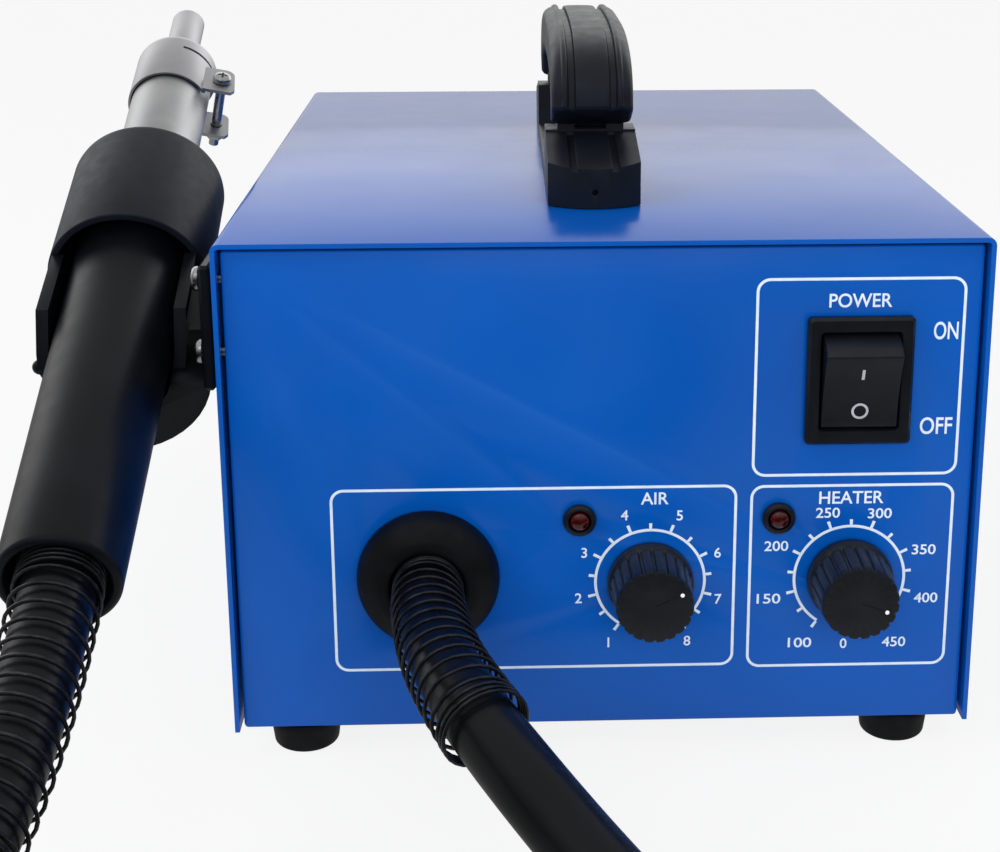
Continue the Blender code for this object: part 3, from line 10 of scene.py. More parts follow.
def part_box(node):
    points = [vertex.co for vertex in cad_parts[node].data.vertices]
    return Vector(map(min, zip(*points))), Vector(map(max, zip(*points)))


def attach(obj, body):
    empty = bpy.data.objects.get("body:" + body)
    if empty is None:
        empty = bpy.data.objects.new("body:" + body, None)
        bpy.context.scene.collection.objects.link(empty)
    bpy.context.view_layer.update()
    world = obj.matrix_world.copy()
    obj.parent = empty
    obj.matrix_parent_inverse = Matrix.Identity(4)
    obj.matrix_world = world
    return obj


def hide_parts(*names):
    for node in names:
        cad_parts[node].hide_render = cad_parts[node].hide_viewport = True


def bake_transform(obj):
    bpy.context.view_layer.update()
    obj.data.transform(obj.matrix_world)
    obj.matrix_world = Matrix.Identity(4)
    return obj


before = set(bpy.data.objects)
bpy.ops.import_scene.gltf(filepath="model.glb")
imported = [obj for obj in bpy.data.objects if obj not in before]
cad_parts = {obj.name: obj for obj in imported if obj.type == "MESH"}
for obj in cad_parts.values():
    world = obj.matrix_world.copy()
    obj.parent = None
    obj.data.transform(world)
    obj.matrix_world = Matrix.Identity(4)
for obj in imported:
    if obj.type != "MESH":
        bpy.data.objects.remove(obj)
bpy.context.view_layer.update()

SCENE = bpy.context.scene
SCENE.view_settings.view_transform = "Standard"

# The case, from its own solid: everything below is measured from its middle on the bench
case_low, case_high = (Vector(corner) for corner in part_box("cover"))
CASE = Vector(((case_low.x + case_high.x) / 2, (case_low.y + case_high.y) / 2, 0))
HALF_WIDTH = (case_high.x - case_low.x) / 2
HALF_DEPTH = (case_high.y - case_low.y) / 2
BASE_Z = case_low.z
TOP_Z = case_high.z
PANEL_Y = -HALF_DEPTH + 0.002
REAR_Y = HALF_DEPTH - 0.002
SEAT_GAP = 0.0003


# Camera: the photograph's own view, with 1769 px of focal length and its optical axis at (562, 303)
CAMERA_AT = (-0.0247, -0.52967, 0.2303)
CAMERA_TURNS = (2.0133, 15.1614, -0.0649)
CAMERA_LENS = 63.695
CAMERA_SHIFT = (-0.06234, -0.12265)


def set_camera():
    yaw, pitch, roll = (radians(turn) for turn in CAMERA_TURNS)
    ahead = Vector((sin(yaw) * cos(pitch), cos(yaw) * cos(pitch), -sin(pitch)))
    level = Vector((cos(yaw), -sin(yaw), 0))
    upright = level.cross(ahead)
    right = level * cos(roll) + upright * sin(roll)
    up = right.cross(ahead)
    data = bpy.data.cameras.new("view")
    data.sensor_width = 36
    data.lens = CAMERA_LENS
    data.shift_x, data.shift_y = CAMERA_SHIFT
    data.clip_start = 0.01
    camera = bpy.data.objects.new("view", data)
    SCENE.collection.objects.link(camera)
    turn = Matrix((right, up, -ahead)).transposed().to_4x4()
    camera.matrix_world = Matrix.Translation(CASE + Vector(CAMERA_AT)) @ turn
    SCENE.camera = camera


set_camera()


# Finishes
def linear(code):
    """A hex sRGB colour as linear RGBA."""
    parts = [int(code[i : i + 2], 16) / 255 for i in (1, 3, 5)]
    return [c / 12.92 if c <= 0.04045 else ((c + 0.055) / 1.055) ** 2.4 for c in parts] + [1.0]


def node(tree, kind, settings=(), inputs=()):
    """A node with its settings, and its inputs given as numbers or as sockets to link."""
    made = tree.nodes.new(kind)
    for key, value in dict(settings).items():
        setattr(made, key, value)
    for key, value in dict(inputs).items():
        if isinstance(value, bpy.types.NodeSocket):
            tree.links.new(value, made.inputs[key])
        else:
            made.inputs[key].default_value = value
    return made


def new_finish(name):
    made = bpy.data.materials.new(name)
    made.use_nodes = True
    tree = made.node_tree
    return made, tree, tree.nodes["Principled BSDF"]


def noise(tree, size_mm, detail, stretch=(1, 1, 1), distortion=0.0):
    """Noise whose features are about that many millimetres across, stretched along an axis."""
    place = node(tree, "ShaderNodeTexCoord").outputs["Object"]
    mapping = node(
        tree, "ShaderNodeMapping", inputs={"Vector": place, "Scale": [1000 / size_mm / s for s in stretch]}
    )
    inputs = {"Vector": mapping.outputs[0], "Scale": 1.0, "Detail": detail, "Distortion": distortion}
    return node(tree, "ShaderNodeTexNoise", inputs=inputs).outputs["Fac"]


def ranged(tree, value, low, high, from_low=0.3, from_high=0.7):
    """A value's range moved to low and high; most noise lies between 0.3 and 0.7."""
    inputs = {0: value, 1: from_low, 2: from_high, 3: low, 4: high}
    return node(tree, "ShaderNodeMapRange", inputs=inputs).outputs[0]


def blended(tree, share, one, other):
    settings = {"data_type": "RGBA"}
    inputs = {0: share, 6: one, 7: other}
    return node(tree, "ShaderNodeMix", settings, inputs).outputs[2]


def bumped(tree, height, depth_mm):
    inputs = {"Height": height, "Strength": 1.0, "Distance": depth_mm / 1000}
    return node(tree, "ShaderNodeBump", inputs=inputs).outputs[0]


def moulded(name, dark, light, rough, grain_mm, grain_depth, cloud_mm, **shader):
    """A moulded or coated surface: cloudy colour, uneven gloss and a fine grain."""
    made, tree, surface = new_finish(name)
    cloud = noise(tree, cloud_mm, 4)
    colour = blended(tree, ranged(tree, cloud, 0, 1), linear(dark), linear(light))
    tree.links.new(colour, surface.inputs["Base Color"])
    gloss = ranged(tree, noise(tree, cloud_mm * 0.4, 3), rough[0], rough[1])
    tree.links.new(gloss, surface.inputs["Roughness"])
    tree.links.new(bumped(tree, noise(tree, grain_mm, 2), grain_depth), surface.inputs["Normal"])
    for socket, value in shader.items():
        surface.inputs[socket.replace("_", " ")].default_value = value
    return made


# Gloss powder coat on steel sheet: deep clean blue, faint orange peel about 2 mm across
BLUE_COAT = moulded("blue_powder_coat", "#0052B0", "#0258B7", (0.17, 0.23), 2.2, 0.005, 60, IOR=1.5)
# Moulded ABS with a spark-eroded satin face: near black, soft narrow highlights
BLACK_ABS = moulded(
    "black_satin_abs", "#080A0E", "#0E1015", (0.30, 0.38), 0.35, 0.006, 12, Specular_IOR_Level=0.22
)
# The collar's glass-filled nylon: a shade greyer and flatter than the handle
COLLAR_NYLON = moulded(
    "black_glass_filled_nylon", "#0F131B", "#151A23", (0.42, 0.50), 0.3, 0.008, 9, Specular_IOR_Level=0.17
)
# Carrying handle: polypropylene with a fine leathery mould grain
HANDLE_PP = moulded(
    "grained_polypropylene", "#10141B", "#171C24", (0.36, 0.46), 0.55, 0.016, 10, Specular_IOR_Level=0.26
)
# Switch and knob: smooth thermoplastic, slightly blue black
SWITCH_PBT = moulded("black_pbt", "#0D1015", "#12161C", (0.30, 0.40), 0.25, 0.005, 6)
KNOB_ABS = moulded("black_knob_abs", "#101318", "#161A20", (0.32, 0.42), 0.25, 0.006, 6)
# Soft rubber: dull, powdery
RUBBER = moulded("black_rubber", "#08090B", "#101115", (0.45, 0.6), 0.5, 0.012, 7, Specular_IOR_Level=0.25)
# Silicone hose: extruded, satin with a faint lengthwise bloom
SILICONE = moulded(
    "black_silicone_hose", "#07080A", "#0C0E11", (0.26, 0.36), 0.9, 0.008, 22, Specular_IOR_Level=0.28
)
# Music wire with black oxide: dark, its crests polished so that each turn catches a line of light
SPRING_WIRE = moulded("black_oxide_wire", "#2A2B2E", "#4A4B4F", (0.16, 0.26), 0.4, 0.004, 4, Metallic=0.9)
# Zinc plate: bright, pale, slightly milky, so screw heads stand out from the dark parts
ZINC = moulded("zinc_plate", "#B4B5B6", "#D2D3D3", (0.20, 0.32), 0.5, 0.006, 3, Metallic=1.0)
# Varnished core steel: dark, half metallic, uneven where the varnish ran
CORE_STEEL = moulded("varnished_core_steel", "#33353A", "#4A4C52", (0.35, 0.5), 0.5, 0.02, 8, Metallic=0.7)
# Glass epoxy under green solder mask: even, smooth
BOARD = moulded("glass_epoxy_board", "#0E4A2A", "#156038", (0.3, 0.42), 0.4, 0.006, 4)
# Sand-cast aluminium: dull grey with a coarse skin
PUMP_CAST = moulded("cast_pump_housing", "#5A5C60", "#74767A", (0.45, 0.6), 0.6, 0.03, 6, Metallic=0.6)
# Fired ceramic: chalky off-white
CERAMIC = moulded("heater_ceramic", "#D8D3C8", "#E8E4DC", (0.6, 0.75), 0.3, 0.01, 4)
# Screen-print ink: flat, pale with a touch of the blue below
INK = moulded("panel_ink", "#D2E4F6", "#E4EFFC", (0.5, 0.6), 0.2, 0.002, 3)
# Pad print in the rocker's face: grey, so it reads softer than the panel's words
GREY_INK = moulded("switch_ink", "#A2A6B0", "#BCC0C8", (0.5, 0.6), 0.2, 0.002, 3)
# Enamel dot of a knob's pointer: the whitest point on the front
WHITE_INK = moulded("pointer_ink", "#F0F0F0", "#FAFAFA", (0.4, 0.5), 0.2, 0.002, 3)
# Nickel plate on brass: bright and slightly warm
PIN_NICKEL = moulded("nickelled_pin", "#B9B4A4", "#CFCBBE", (0.2, 0.3), 0.3, 0.004, 3, Metallic=1.0)
# Black, fully matt sheet between the tray's folds and the cover: painted shade that fills the gap under
# the cover's edge with black
GAP_SHADE_SHEET = moulded("black_gap_shade_sheet", "#08080A", "#101012", (0.85, 0.95), 0.8, 0.05, 3)
# Red lens of a lamp that is off: dark wine red under a clear gloss
LENS = moulded("red_lamp_lens", "#230201", "#4A0603", (0.08, 0.12), 1.0, 0.002, 2, Coat_Weight=0.8)
LENS.node_tree.nodes["Principled BSDF"].inputs["Coat Roughness"].default_value = 0.05


def drawn_stainless(name, dark, light, rough):
    """Stainless tube polished round its axis: fine rings, cloudy patches where heat has dulled it."""
    made, tree, surface = new_finish(name)
    rings = noise(tree, 0.22, 2, (60, 1, 60))
    cloud = noise(tree, 11, 4, distortion=0.6)
    share = ranged(tree, cloud, 0, 1)
    tree.links.new(blended(tree, share, linear(dark), linear(light)), surface.inputs["Base Color"])
    tree.links.new(ranged(tree, cloud, rough[0], rough[1]), surface.inputs["Roughness"])
    tree.links.new(bumped(tree, rings, 0.0015), surface.inputs["Normal"])
    surface.inputs["Metallic"].default_value = 1.0
    return made


# The barrel's tube keeps a soft shine, the pressed nozzle is paler and flatter
STAINLESS = drawn_stainless("polished_stainless", "#B2B4B6", "#C6C6C4", (0.36, 0.46))
SATIN_STAINLESS = drawn_stainless("satin_stainless", "#C2C2C5", "#D0D0D2", (0.42, 0.52))


# Meshes
def placed(shape, matrix=None):
    """A bmesh turned into mesh data with its place in it."""
    if matrix is not None:
        shape.transform(matrix)
    bmesh.ops.recalc_face_normals(shape, faces=shape.faces)
    data = bpy.data.meshes.new("shape")
    shape.to_mesh(data)
    shape.free()
    return data


def dress(name, data, finish, body, stands_for=(), sharp=35):
    """A finished piece on its body, or on none yet, standing for the CAD nodes named."""
    made = bpy.data.objects.new(name, data)
    SCENE.collection.objects.link(made)
    data.materials.clear()
    data.materials.append(finish)
    data.shade_smooth()
    data.set_sharp_from_angle(angle=radians(sharp))
    if stands_for:
        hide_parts(*stands_for)
    if body:
        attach(made, body)
    return made


ON_AXIS = 1e-9


def rounded(profile, radius):
    """A closed profile with its corners rounded; points on the axis and near-straight ones stay."""
    steps = 3
    points = []
    for i, here in enumerate(profile):
        if here[0] < ON_AXIS:
            points.append(here)
            continue
        p = Vector(here)
        before = Vector(profile[i - 1]) - p
        after = Vector(profile[(i + 1) % len(profile)]) - p
        if before.angle(-after, 0) < radians(12):
            points.append(here)
            continue
        reach_in = min(radius, before.length * 0.45)
        reach_out = min(radius, after.length * 0.45)
        start = p + before.normalized() * reach_in
        end = p + after.normalized() * reach_out
        for k in range(steps + 1):
            t = k / steps
            points.append(tuple(start * (1 - t) ** 2 + p * 2 * t * (1 - t) + end * t**2))
    return points


def lathe(profile, segments=96):
    """A closed (radius, height) profile turned about Z."""
    shape = bmesh.new()
    rings = []
    for radius, height in profile:
        if radius < ON_AXIS:
            rings.append([shape.verts.new((0, 0, height))] * segments)
            continue
        turns = [2 * pi * i / segments for i in range(segments)]
        rings.append([shape.verts.new((radius * cos(t), radius * sin(t), height)) for t in turns])
    for k, one in enumerate(rings):
        other = rings[(k + 1) % len(rings)]
        if one[0] is one[1] and other[0] is other[1]:
            continue
        for i in range(segments):
            j = (i + 1) % segments
            corners = list(dict.fromkeys((one[i], one[j], other[j], other[i])))
            shape.faces.new(corners)
    return shape


def loft(rings):
    """A closed skin over rings of points."""
    shape = bmesh.new()
    loops = [[shape.verts.new(p) for p in ring] for ring in rings]
    for one, other in zip(loops, loops[1:]):
        for i in range(len(one)):
            j = (i + 1) % len(one)
            shape.faces.new((one[i], one[j], other[j], other[i]))
    shape.faces.new(reversed(loops[0]))
    shape.faces.new(loops[-1])
    return shape


def push(outline, low, high, axis="Z"):
    """An outline pushed from low to high along an axis."""
    if axis == "X":
        return loft([[(depth, *p) for p in outline] for depth in (low, high)])
    return loft([[(*p, depth) for p in outline] for depth in (low, high)])


def block(low, high):
    outline = [(low[0], low[1]), (high[0], low[1]), (high[0], high[1]), (low[0], high[1])]
    return push(outline, low[2], high[2])


def arc(centre, radius, start, end, steps):
    """Points on an arc between two angles in degrees."""
    turns = [radians(start + (end - start) * i / steps) for i in range(steps + 1)]
    return [(centre[0] + radius * cos(t), centre[1] + radius * sin(t)) for t in turns]


def as_object(data, name="work"):
    made = bpy.data.objects.new(name, data)
    SCENE.collection.objects.link(made)
    return made


def applied(work, others=()):
    """The evaluated mesh of a working object, which is removed with its helpers."""
    bpy.context.view_layer.update()
    graph = bpy.context.evaluated_depsgraph_get()
    data = bpy.data.meshes.new_from_object(work.evaluated_get(graph), depsgraph=graph)
    for old in (work, *others):
        bpy.data.objects.remove(old, do_unlink=True)
    return data


def soften(work, width, segments, angle=35):
    """Round the edges sharper than that many degrees."""
    step = work.modifiers.new("soft_edges", "BEVEL")
    step.width = width
    step.segments = segments
    step.limit_method = "ANGLE"
    step.angle_limit = radians(angle)
    step.harden_normals = False


def carved(base, joins=(), cuts=(), edge=0.0):
    """A base shape with others joined to it and cut from it, its edges softened."""
    work = as_object(placed(base))
    helpers = []
    for shapes, operation in ((joins, "UNION"), (cuts, "DIFFERENCE")):
        for shape in shapes:
            other = as_object(placed(shape), "tool")
            other.hide_render = True
            step = work.modifiers.new(operation.lower(), "BOOLEAN")
            step.operation = operation
            step.solver = "EXACT"
            step.object = other
            helpers.append(other)
    if edge:
        soften(work, edge, 2)
    return applied(work, helpers)


def softened(name, edge, segments=2, angle=35):
    """A CAD node's own shape with its loose triangles merged and its edges rounded."""
    shape = bmesh.new()
    shape.from_mesh(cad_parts[name].data)
    bmesh.ops.remove_doubles(shape, verts=shape.verts, dist=2e-6)
    bmesh.ops.dissolve_limit(shape, angle_limit=radians(1.0), verts=shape.verts, edges=shape.edges)
    data = bpy.data.meshes.new("shape")
    shape.to_mesh(data)
    shape.free()
    work = as_object(data)
    soften(work, edge, segments, angle)
    return applied(work)


# Geometry Nodes: a wire along a line, and a part repeated on points
def new_tree(name, sockets):
    tree = bpy.data.node_groups.new(name, "GeometryNodeTree")
    tree.interface.new_socket("Geometry", in_out="INPUT", socket_type="NodeSocketGeometry")
    for socket, kind in sockets:
        tree.interface.new_socket(socket, in_out="INPUT", socket_type=kind)
    tree.interface.new_socket("Geometry", in_out="OUTPUT", socket_type="NodeSocketGeometry")
    source = node(tree, "NodeGroupInput").outputs
    return tree, source


def end_tree(tree, geometry, finish):
    realized = node(tree, "GeometryNodeRealizeInstances", inputs={"Geometry": geometry}).outputs[0]
    inputs = {"Geometry": realized, "Material": finish}
    painted = node(tree, "GeometryNodeSetMaterial", inputs=inputs).outputs[0]
    node(tree, "NodeGroupOutput", inputs={"Geometry": painted})


def wire_tree():
    sockets = [
        ("Wire radius", "NodeSocketFloat"),
        ("Sides", "NodeSocketInt"),
        ("Finish", "NodeSocketMaterial"),
    ]
    tree, source = new_tree("wire_on_line", sockets)
    inputs = {"Resolution": source["Sides"], "Radius": source["Wire radius"]}
    ring = node(tree, "GeometryNodeCurvePrimitiveCircle", inputs=inputs).outputs[0]
    inputs = {"Curve": source["Geometry"], "Profile Curve": ring, "Fill Caps": True}
    wire = node(tree, "GeometryNodeCurveToMesh", inputs=inputs).outputs[0]
    end_tree(tree, wire, source["Finish"])
    return tree


def repeat_tree():
    sockets = [("Part", "NodeSocketObject"), ("Finish", "NodeSocketMaterial")]
    tree, source = new_tree("part_on_points", sockets)
    settings = {"transform_space": "ORIGINAL"}
    inputs = {"Object": source["Part"], "As Instance": True}
    part = node(tree, "GeometryNodeObjectInfo", settings, inputs).outputs["Geometry"]
    settings = {"data_type": "FLOAT_VECTOR"}
    turn = node(tree, "GeometryNodeInputNamedAttribute", settings, {"Name": "turn"}).outputs[0]
    inputs = {"Points": source["Geometry"], "Instance": part, "Rotation": turn}
    repeated = node(tree, "GeometryNodeInstanceOnPoints", inputs=inputs).outputs[0]
    end_tree(tree, repeated, source["Finish"])
    return tree


WIRE_TREE = wire_tree()
REPEAT_TREE = repeat_tree()


def grown(work, tree, values, others=()):
    """The mesh that a node tree makes on a working object."""
    step = work.modifiers.new("tree", "NODES")
    step.node_group = tree
    for item in tree.interface.items_tree:
        if item.in_out == "INPUT" and item.name in values:
            step[item.identifier] = values[item.name]
    return applied(work, others)


def wire_along(points, radius, finish):
    """A round wire of eight sides along a line of points."""
    curve = bpy.data.curves.new("line", "CURVE")
    curve.dimensions = "3D"
    spline = curve.splines.new("POLY")
    spline.points.add(len(points) - 1)
    for point, place in zip(spline.points, points):
        point.co = (*place, 1)
    values = {"Wire radius": radius, "Sides": 8, "Finish": finish}
    return grown(as_object(curve), WIRE_TREE, values)


def repeated(part, places, finish):
    """A part repeated at each (place, Euler turn)."""
    data = bpy.data.meshes.new("points")
    data.from_pydata([place for place, _ in places], [], [])
    turns = data.attributes.new("turn", "FLOAT_VECTOR", "POINT")
    for i, (_, turn) in enumerate(places):
        turns.data[i].vector = turn
    pattern = as_object(placed(part), "pattern")
    pattern.hide_render = True
    values = {"Part": pattern, "Finish": finish}
    return grown(as_object(data), REPEAT_TREE, values, [pattern])


def on_panel(place, out):
    """A frame on the front panel: X right, Y up, Z out of it."""
    spot = CASE + Vector((place[0], PANEL_Y - out, BASE_Z + place[1]))
    return Matrix.Translation(spot) @ Matrix.Rotation(pi / 2, 4, "X")


# Places on the front panel, from its middle and its lower edge
SWITCH_AT = (0.0625, 0.0914)
HEATER_AT = (0.0618, 0.0391)
AIR_AT = (0.0116, 0.0391)
GROMMET_AT = (-0.0438, 0.0411)

# Handpiece frame: Z along it to the nozzle, Y over it, -X away from the case
RISE = radians(21.95)
TURN = radians(1.44)
ALONG = Vector((-sin(TURN) * cos(RISE), cos(TURN) * cos(RISE), sin(RISE)))
ACROSS = Vector((cos(TURN), sin(TURN), 0))
OVER = ACROSS.cross(ALONG)
AXIS_POINT = CASE + Vector((-HALF_WIDTH - 0.02676, -HALF_DEPTH, BASE_Z + 0.09235))
AXIS = Matrix.Translation(AXIS_POINT) @ Matrix((-ACROSS, OVER, ALONG)).transposed().to_4x4()
EARS = AXIS @ Matrix.Translation((0, 0, 0.130)) @ Matrix.Rotation(radians(12), 4, "Z")


# Hose: route points given from the case's middle on the bench, its turns by a loop
STATION_LEG = [
    (-0.0438, -0.1080, 0.0491),
    (-0.0438, -0.1225, 0.0492),
    (-0.0428, -0.1425, 0.0492),
    (-0.0390, -0.1650, 0.0484),
    (-0.0312, -0.1870, 0.0462),
    (-0.0212, -0.2045, 0.0412),
    (-0.0095, -0.2210, 0.0345),
    (0.0052, -0.2425, 0.0278),
    (0.0172, -0.2610, 0.0216),
    (0.0275, -0.2780, 0.0148),
]
HANDPIECE_LEG = [
    (-0.1300, -0.3050, 0.0262),
    (-0.1262, -0.2750, 0.0386),
    (-0.1214, -0.2430, 0.0516),
    (-0.1188, -0.2205, 0.0605),
    (-0.1180, -0.1960, 0.0706),
    (-0.1187, -0.1740, 0.0797),
    (-0.1194, -0.1590, 0.0857),
]
COIL_MIDDLE = (-0.0343, -0.3276)
COIL_INNER = 0.080
COIL_GROWTH = 0.0175
COIL_GROWS = (-150, -318)
COIL_HEIGHT = 0.0083
COIL_LIFT = 0.0082
COIL_LIFTS = (-498, -534)
COIL_POINTS = 23
HOSE_RADIUS = 0.008
HOSE_NECK_RADIUS = 0.0070
HOSE_NECK_END = 0.095


def coil_points():
    """The turns on the bench, out of the camera's view, the outer one beside the inner."""
    points = []
    for i in range(COIL_POINTS):
        turn = 12 - 24 * i
        grow = min(max((COIL_GROWS[0] - turn) / (COIL_GROWS[0] - COIL_GROWS[1]), 0), 1)
        radius = COIL_INNER + COIL_GROWTH * grow
        lift = max((COIL_LIFTS[0] - turn) / (COIL_LIFTS[0] - COIL_LIFTS[1]), 0)
        height = COIL_HEIGHT + COIL_LIFT * lift**2
        t = radians(turn)
        points.append((COIL_MIDDLE[0] + radius * cos(t), COIL_MIDDLE[1] + radius * sin(t), height))
    return points


def smooth_path(route, spacing):
    """Points that far apart along a smooth curve through the route, and the curve's length."""
    ends = [route[0], *route, route[-1]]
    fine = []
    for corners in zip(ends, ends[1:], ends[2:], ends[3:]):
        p = [Vector(v) for v in corners]
        knots = [0.0]
        for one, other in zip(p, p[1:]):
            knots.append(knots[-1] + max((other - one).length, 1e-5) ** 0.5)
        span = knots[2] - knots[1]
        slope_in = (p[2] - p[0]) / (knots[2] - knots[0]) * span
        slope_out = (p[3] - p[1]) / (knots[3] - knots[1]) * span
        for i in range(12):
            t = i / 12
            fine.append(
                p[1] * (2 * t**3 - 3 * t**2 + 1)
                + slope_in * (t**3 - 2 * t**2 + t)
                + p[2] * (3 * t**2 - 2 * t**3)
                + slope_out * (t**3 - t**2)
            )
    fine.append(Vector(route[-1]))
    lengths = [0.0]
    for one, other in zip(fine, fine[1:]):
        lengths.append(lengths[-1] + (other - one).length)
    count = round(lengths[-1] / spacing)
    points = []
    k = 0
    for i in range(count + 1):
        want = lengths[-1] * i / count
        while k < len(fine) - 2 and lengths[k + 1] < want:
            k += 1
        share = (want - lengths[k]) / (lengths[k + 1] - lengths[k])
        points.append(fine[k].lerp(fine[k + 1], share))
    return points, lengths[-1]


route = [CASE + Vector(p) for p in STATION_LEG + coil_points() + HANDPIECE_LEG]
hose_line, hose_length = smooth_path(route, 0.0035)


def tube(points, radius_at, sides):
    """A round tube carried along its line without twisting."""
    rings = []
    out = Vector((0, 0, 1))
    for i, point in enumerate(points):
        ahead = (points[min(i + 1, len(points) - 1)] - points[max(i - 1, 0)]).normalized()
        out = (out - ahead * out.dot(ahead)).normalized()
        side = ahead.cross(out)
        radius = radius_at(i)
        turns = [2 * pi * k / sides for k in range(sides)]
        rings.append([point + radius * (out * cos(t) + side * sin(t)) for t in turns])
    return loft(rings)


def hose_radius_at(i):
    """The hose is squeezed thinner where it enters the grommet."""
    gone = hose_length * i / (len(hose_line) - 1)
    squeeze = max(0, 1 - gone / HOSE_NECK_END)
    return HOSE_RADIUS - squeeze * (HOSE_RADIUS - HOSE_NECK_RADIUS)


hose_data = placed(tube(hose_line, hose_radius_at, 32))
hose = dress("air_hose", hose_data, SILICONE, None, ["hose"])

# Bend springs: length, open pitch, close turns at the seat, radius there and at the free end
WIRE_RADIUS = 0.00045
CLOSE_PITCH = 0.0013
END_TURNS = 3
STATION_SPRING = (0.070, 0.0044, 5, 0.0088, 0.0103)
STATION_SPRING_FROM = 0.0125
HANDPIECE_SPRING = (0.081, 0.0048, 9, 0.0097, 0.0097)
HANDLE_END = -0.065
SPRING_SOCKET = 0.013


def spring_line(path, length, pitch, close_turns, near_radius, far_radius):
    """The wire's centreline: close turns, open ones, then a few close ones, round the path."""
    open_turns = (length - close_turns * CLOSE_PITCH - END_TURNS * CLOSE_PITCH) / pitch
    per_turn = 28
    steps = round((close_turns + open_turns + END_TURNS) * per_turn)
    lengths = [0.0]
    for one, other in zip(path, path[1:]):
        lengths.append(lengths[-1] + (other - one).length)
    line = []
    k = 0
    for i in range(steps + 1):
        turns = i / per_turn
        along = min(turns, close_turns) * CLOSE_PITCH
        along += min(max(turns - close_turns, 0), open_turns) * pitch
        along += max(turns - close_turns - open_turns, 0) * CLOSE_PITCH
        while k < len(lengths) - 2 and lengths[k + 1] < along:
            k += 1
        ahead = (path[k + 1] - path[k]).normalized()
        centre = path[k] + ahead * (along - lengths[k])
        side = ahead.cross(Vector((0, 0, 1))).normalized()
        up = side.cross(ahead)
        t = 2 * pi * turns
        radius = near_radius + (far_radius - near_radius) * min(along / length, 1) - WIRE_RADIUS
        line.append(centre + (side * cos(t) + up * sin(t)) * radius)
    return line


def make_springs():
    path, _ = smooth_path(route, 0.004)
    station_path = list(path)
    while (station_path[0] - path[0]).length < STATION_SPRING_FROM:
        station_path.pop(0)
    data = wire_along(spring_line(station_path, *STATION_SPRING), WIRE_RADIUS, SPRING_WIRE)
    station = dress("station_bend_spring", data, SPRING_WIRE, "station", ["station_spring"], 60)
    seat = AXIS_POINT + ALONG * (HANDLE_END + SPRING_SOCKET - SEAT_GAP - WIRE_RADIUS)
    back_path = path[::-1]
    while (back_path[0] - seat).dot(ALONG) > 0:
        back_path.pop(0)
    data = wire_along(spring_line(back_path, *HANDPIECE_SPRING), WIRE_RADIUS, SPRING_WIRE)
    handpiece = dress("handpiece_bend_spring", data, SPRING_WIRE, None, ["handpiece_spring"], 60)
    return station, handpiece


station_spring, handpiece_spring = make_springs()
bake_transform(hose)
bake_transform(handpiece_spring)


# Case
SHEET_EDGE = 0.00028
COVER_SHEET = 0.0012
for name in ("cover", "chassis"):
    dress(f"painted_{name}", softened(name, SHEET_EDGE), BLUE_COAT, "station", [name], 30)


# Black sheets behind the panels' upper edges: painted shade in the gap under the cover's edge
GAP_SHADE_SHEET_IN = (0.0034, 0.0064)
GAP_SHADE_SHEET_SIDE_GAP = 0.006
GAP_SHADE_SHEET_DOWN = 0.0075
GAP_SHADE_SHEET_CLEAR = 0.00005


def make_gap_shade_sheets():
    """Black sheets behind each panel's upper edge, up to the cover: painted shade in the gap, and no light
    passes through the case.
    """
    shape = bmesh.new()
    for end in (-1, 1):
        near, far = sorted(end * (HALF_DEPTH - inward) for inward in GAP_SHADE_SHEET_IN)
        low = (-HALF_WIDTH + GAP_SHADE_SHEET_SIDE_GAP, near, TOP_Z - GAP_SHADE_SHEET_DOWN)
        high = (HALF_WIDTH - GAP_SHADE_SHEET_SIDE_GAP, far, TOP_Z - COVER_SHEET - GAP_SHADE_SHEET_CLEAR)
        strip = placed(block(low, high), Matrix.Translation(CASE))
        shape.from_mesh(strip)
    dress("foam_strips", placed(shape), GAP_SHADE_SHEET, "station")


make_gap_shade_sheets()


def pan_head(radius, height, shank_radius, shank_length):
    """A cross-recessed pan head screw, its seat at z = 0."""
    profile = [(0, -shank_length), (shank_radius, -shank_length), (shank_radius, 0), (radius, 0)]
    for k in range(7):
        t = k / 6 * pi / 2
        profile.append((max(radius * cos(t) ** 0.7, 0), height * (0.35 + 0.65 * sin(t))))
    profile[-1] = (0, height)
    base = lathe(profile, 32)
    arm = radius * 0.52
    slit = radius * 0.11
    floor = height * 0.35
    cuts = [
        block((-arm, -slit, floor), (arm, slit, height + 0.001)),
        block((-slit, -arm, floor + 0.00007), (slit, arm, height + 0.0011)),
    ]
    shape = bmesh.new()
    shape.from_mesh(carved(base, cuts=cuts))
    return shape


COVER_SCREW_REACH = 0.092
COVER_SCREW_UP = 0.009
HOLDER_SCREWS_UP = {"upper": 0.1176, "lower": 0.0995}
HOLDER_SCREW_IN = 0.005
HOLDER_PLATE_OUT = 0.0036


def make_case_screws():
    places = []
    nodes = []
    for side, side_name, turn in ((-1, "left", (0, -pi / 2, 0)), (1, "right", (0, pi / 2, 0))):
        for end, end_name in ((-1, "front"), (1, "rear")):
            reach = side * (HALF_WIDTH + SEAT_GAP)
            spot = CASE + Vector((reach, end * COVER_SCREW_REACH, BASE_Z + COVER_SCREW_UP))
            places.append((spot, turn))
            nodes.append(f"cover_screw_{side_name}_{end_name}")
    for row, up in HOLDER_SCREWS_UP.items():
        place = (-HALF_WIDTH - HOLDER_PLATE_OUT, -HALF_DEPTH + HOLDER_SCREW_IN, BASE_Z + up)
        places.append((CASE + Vector(place), (0, -pi / 2, 0)))
        nodes.append(f"holder_screw_{row}")
    data = repeated(pan_head(0.003, 0.0019, 0.0014, 0.006), places, ZINC)
    dress("case_screws", data, ZINC, "station", nodes)


make_case_screws()


FOOT_IN = (0.0168, 0.0115)


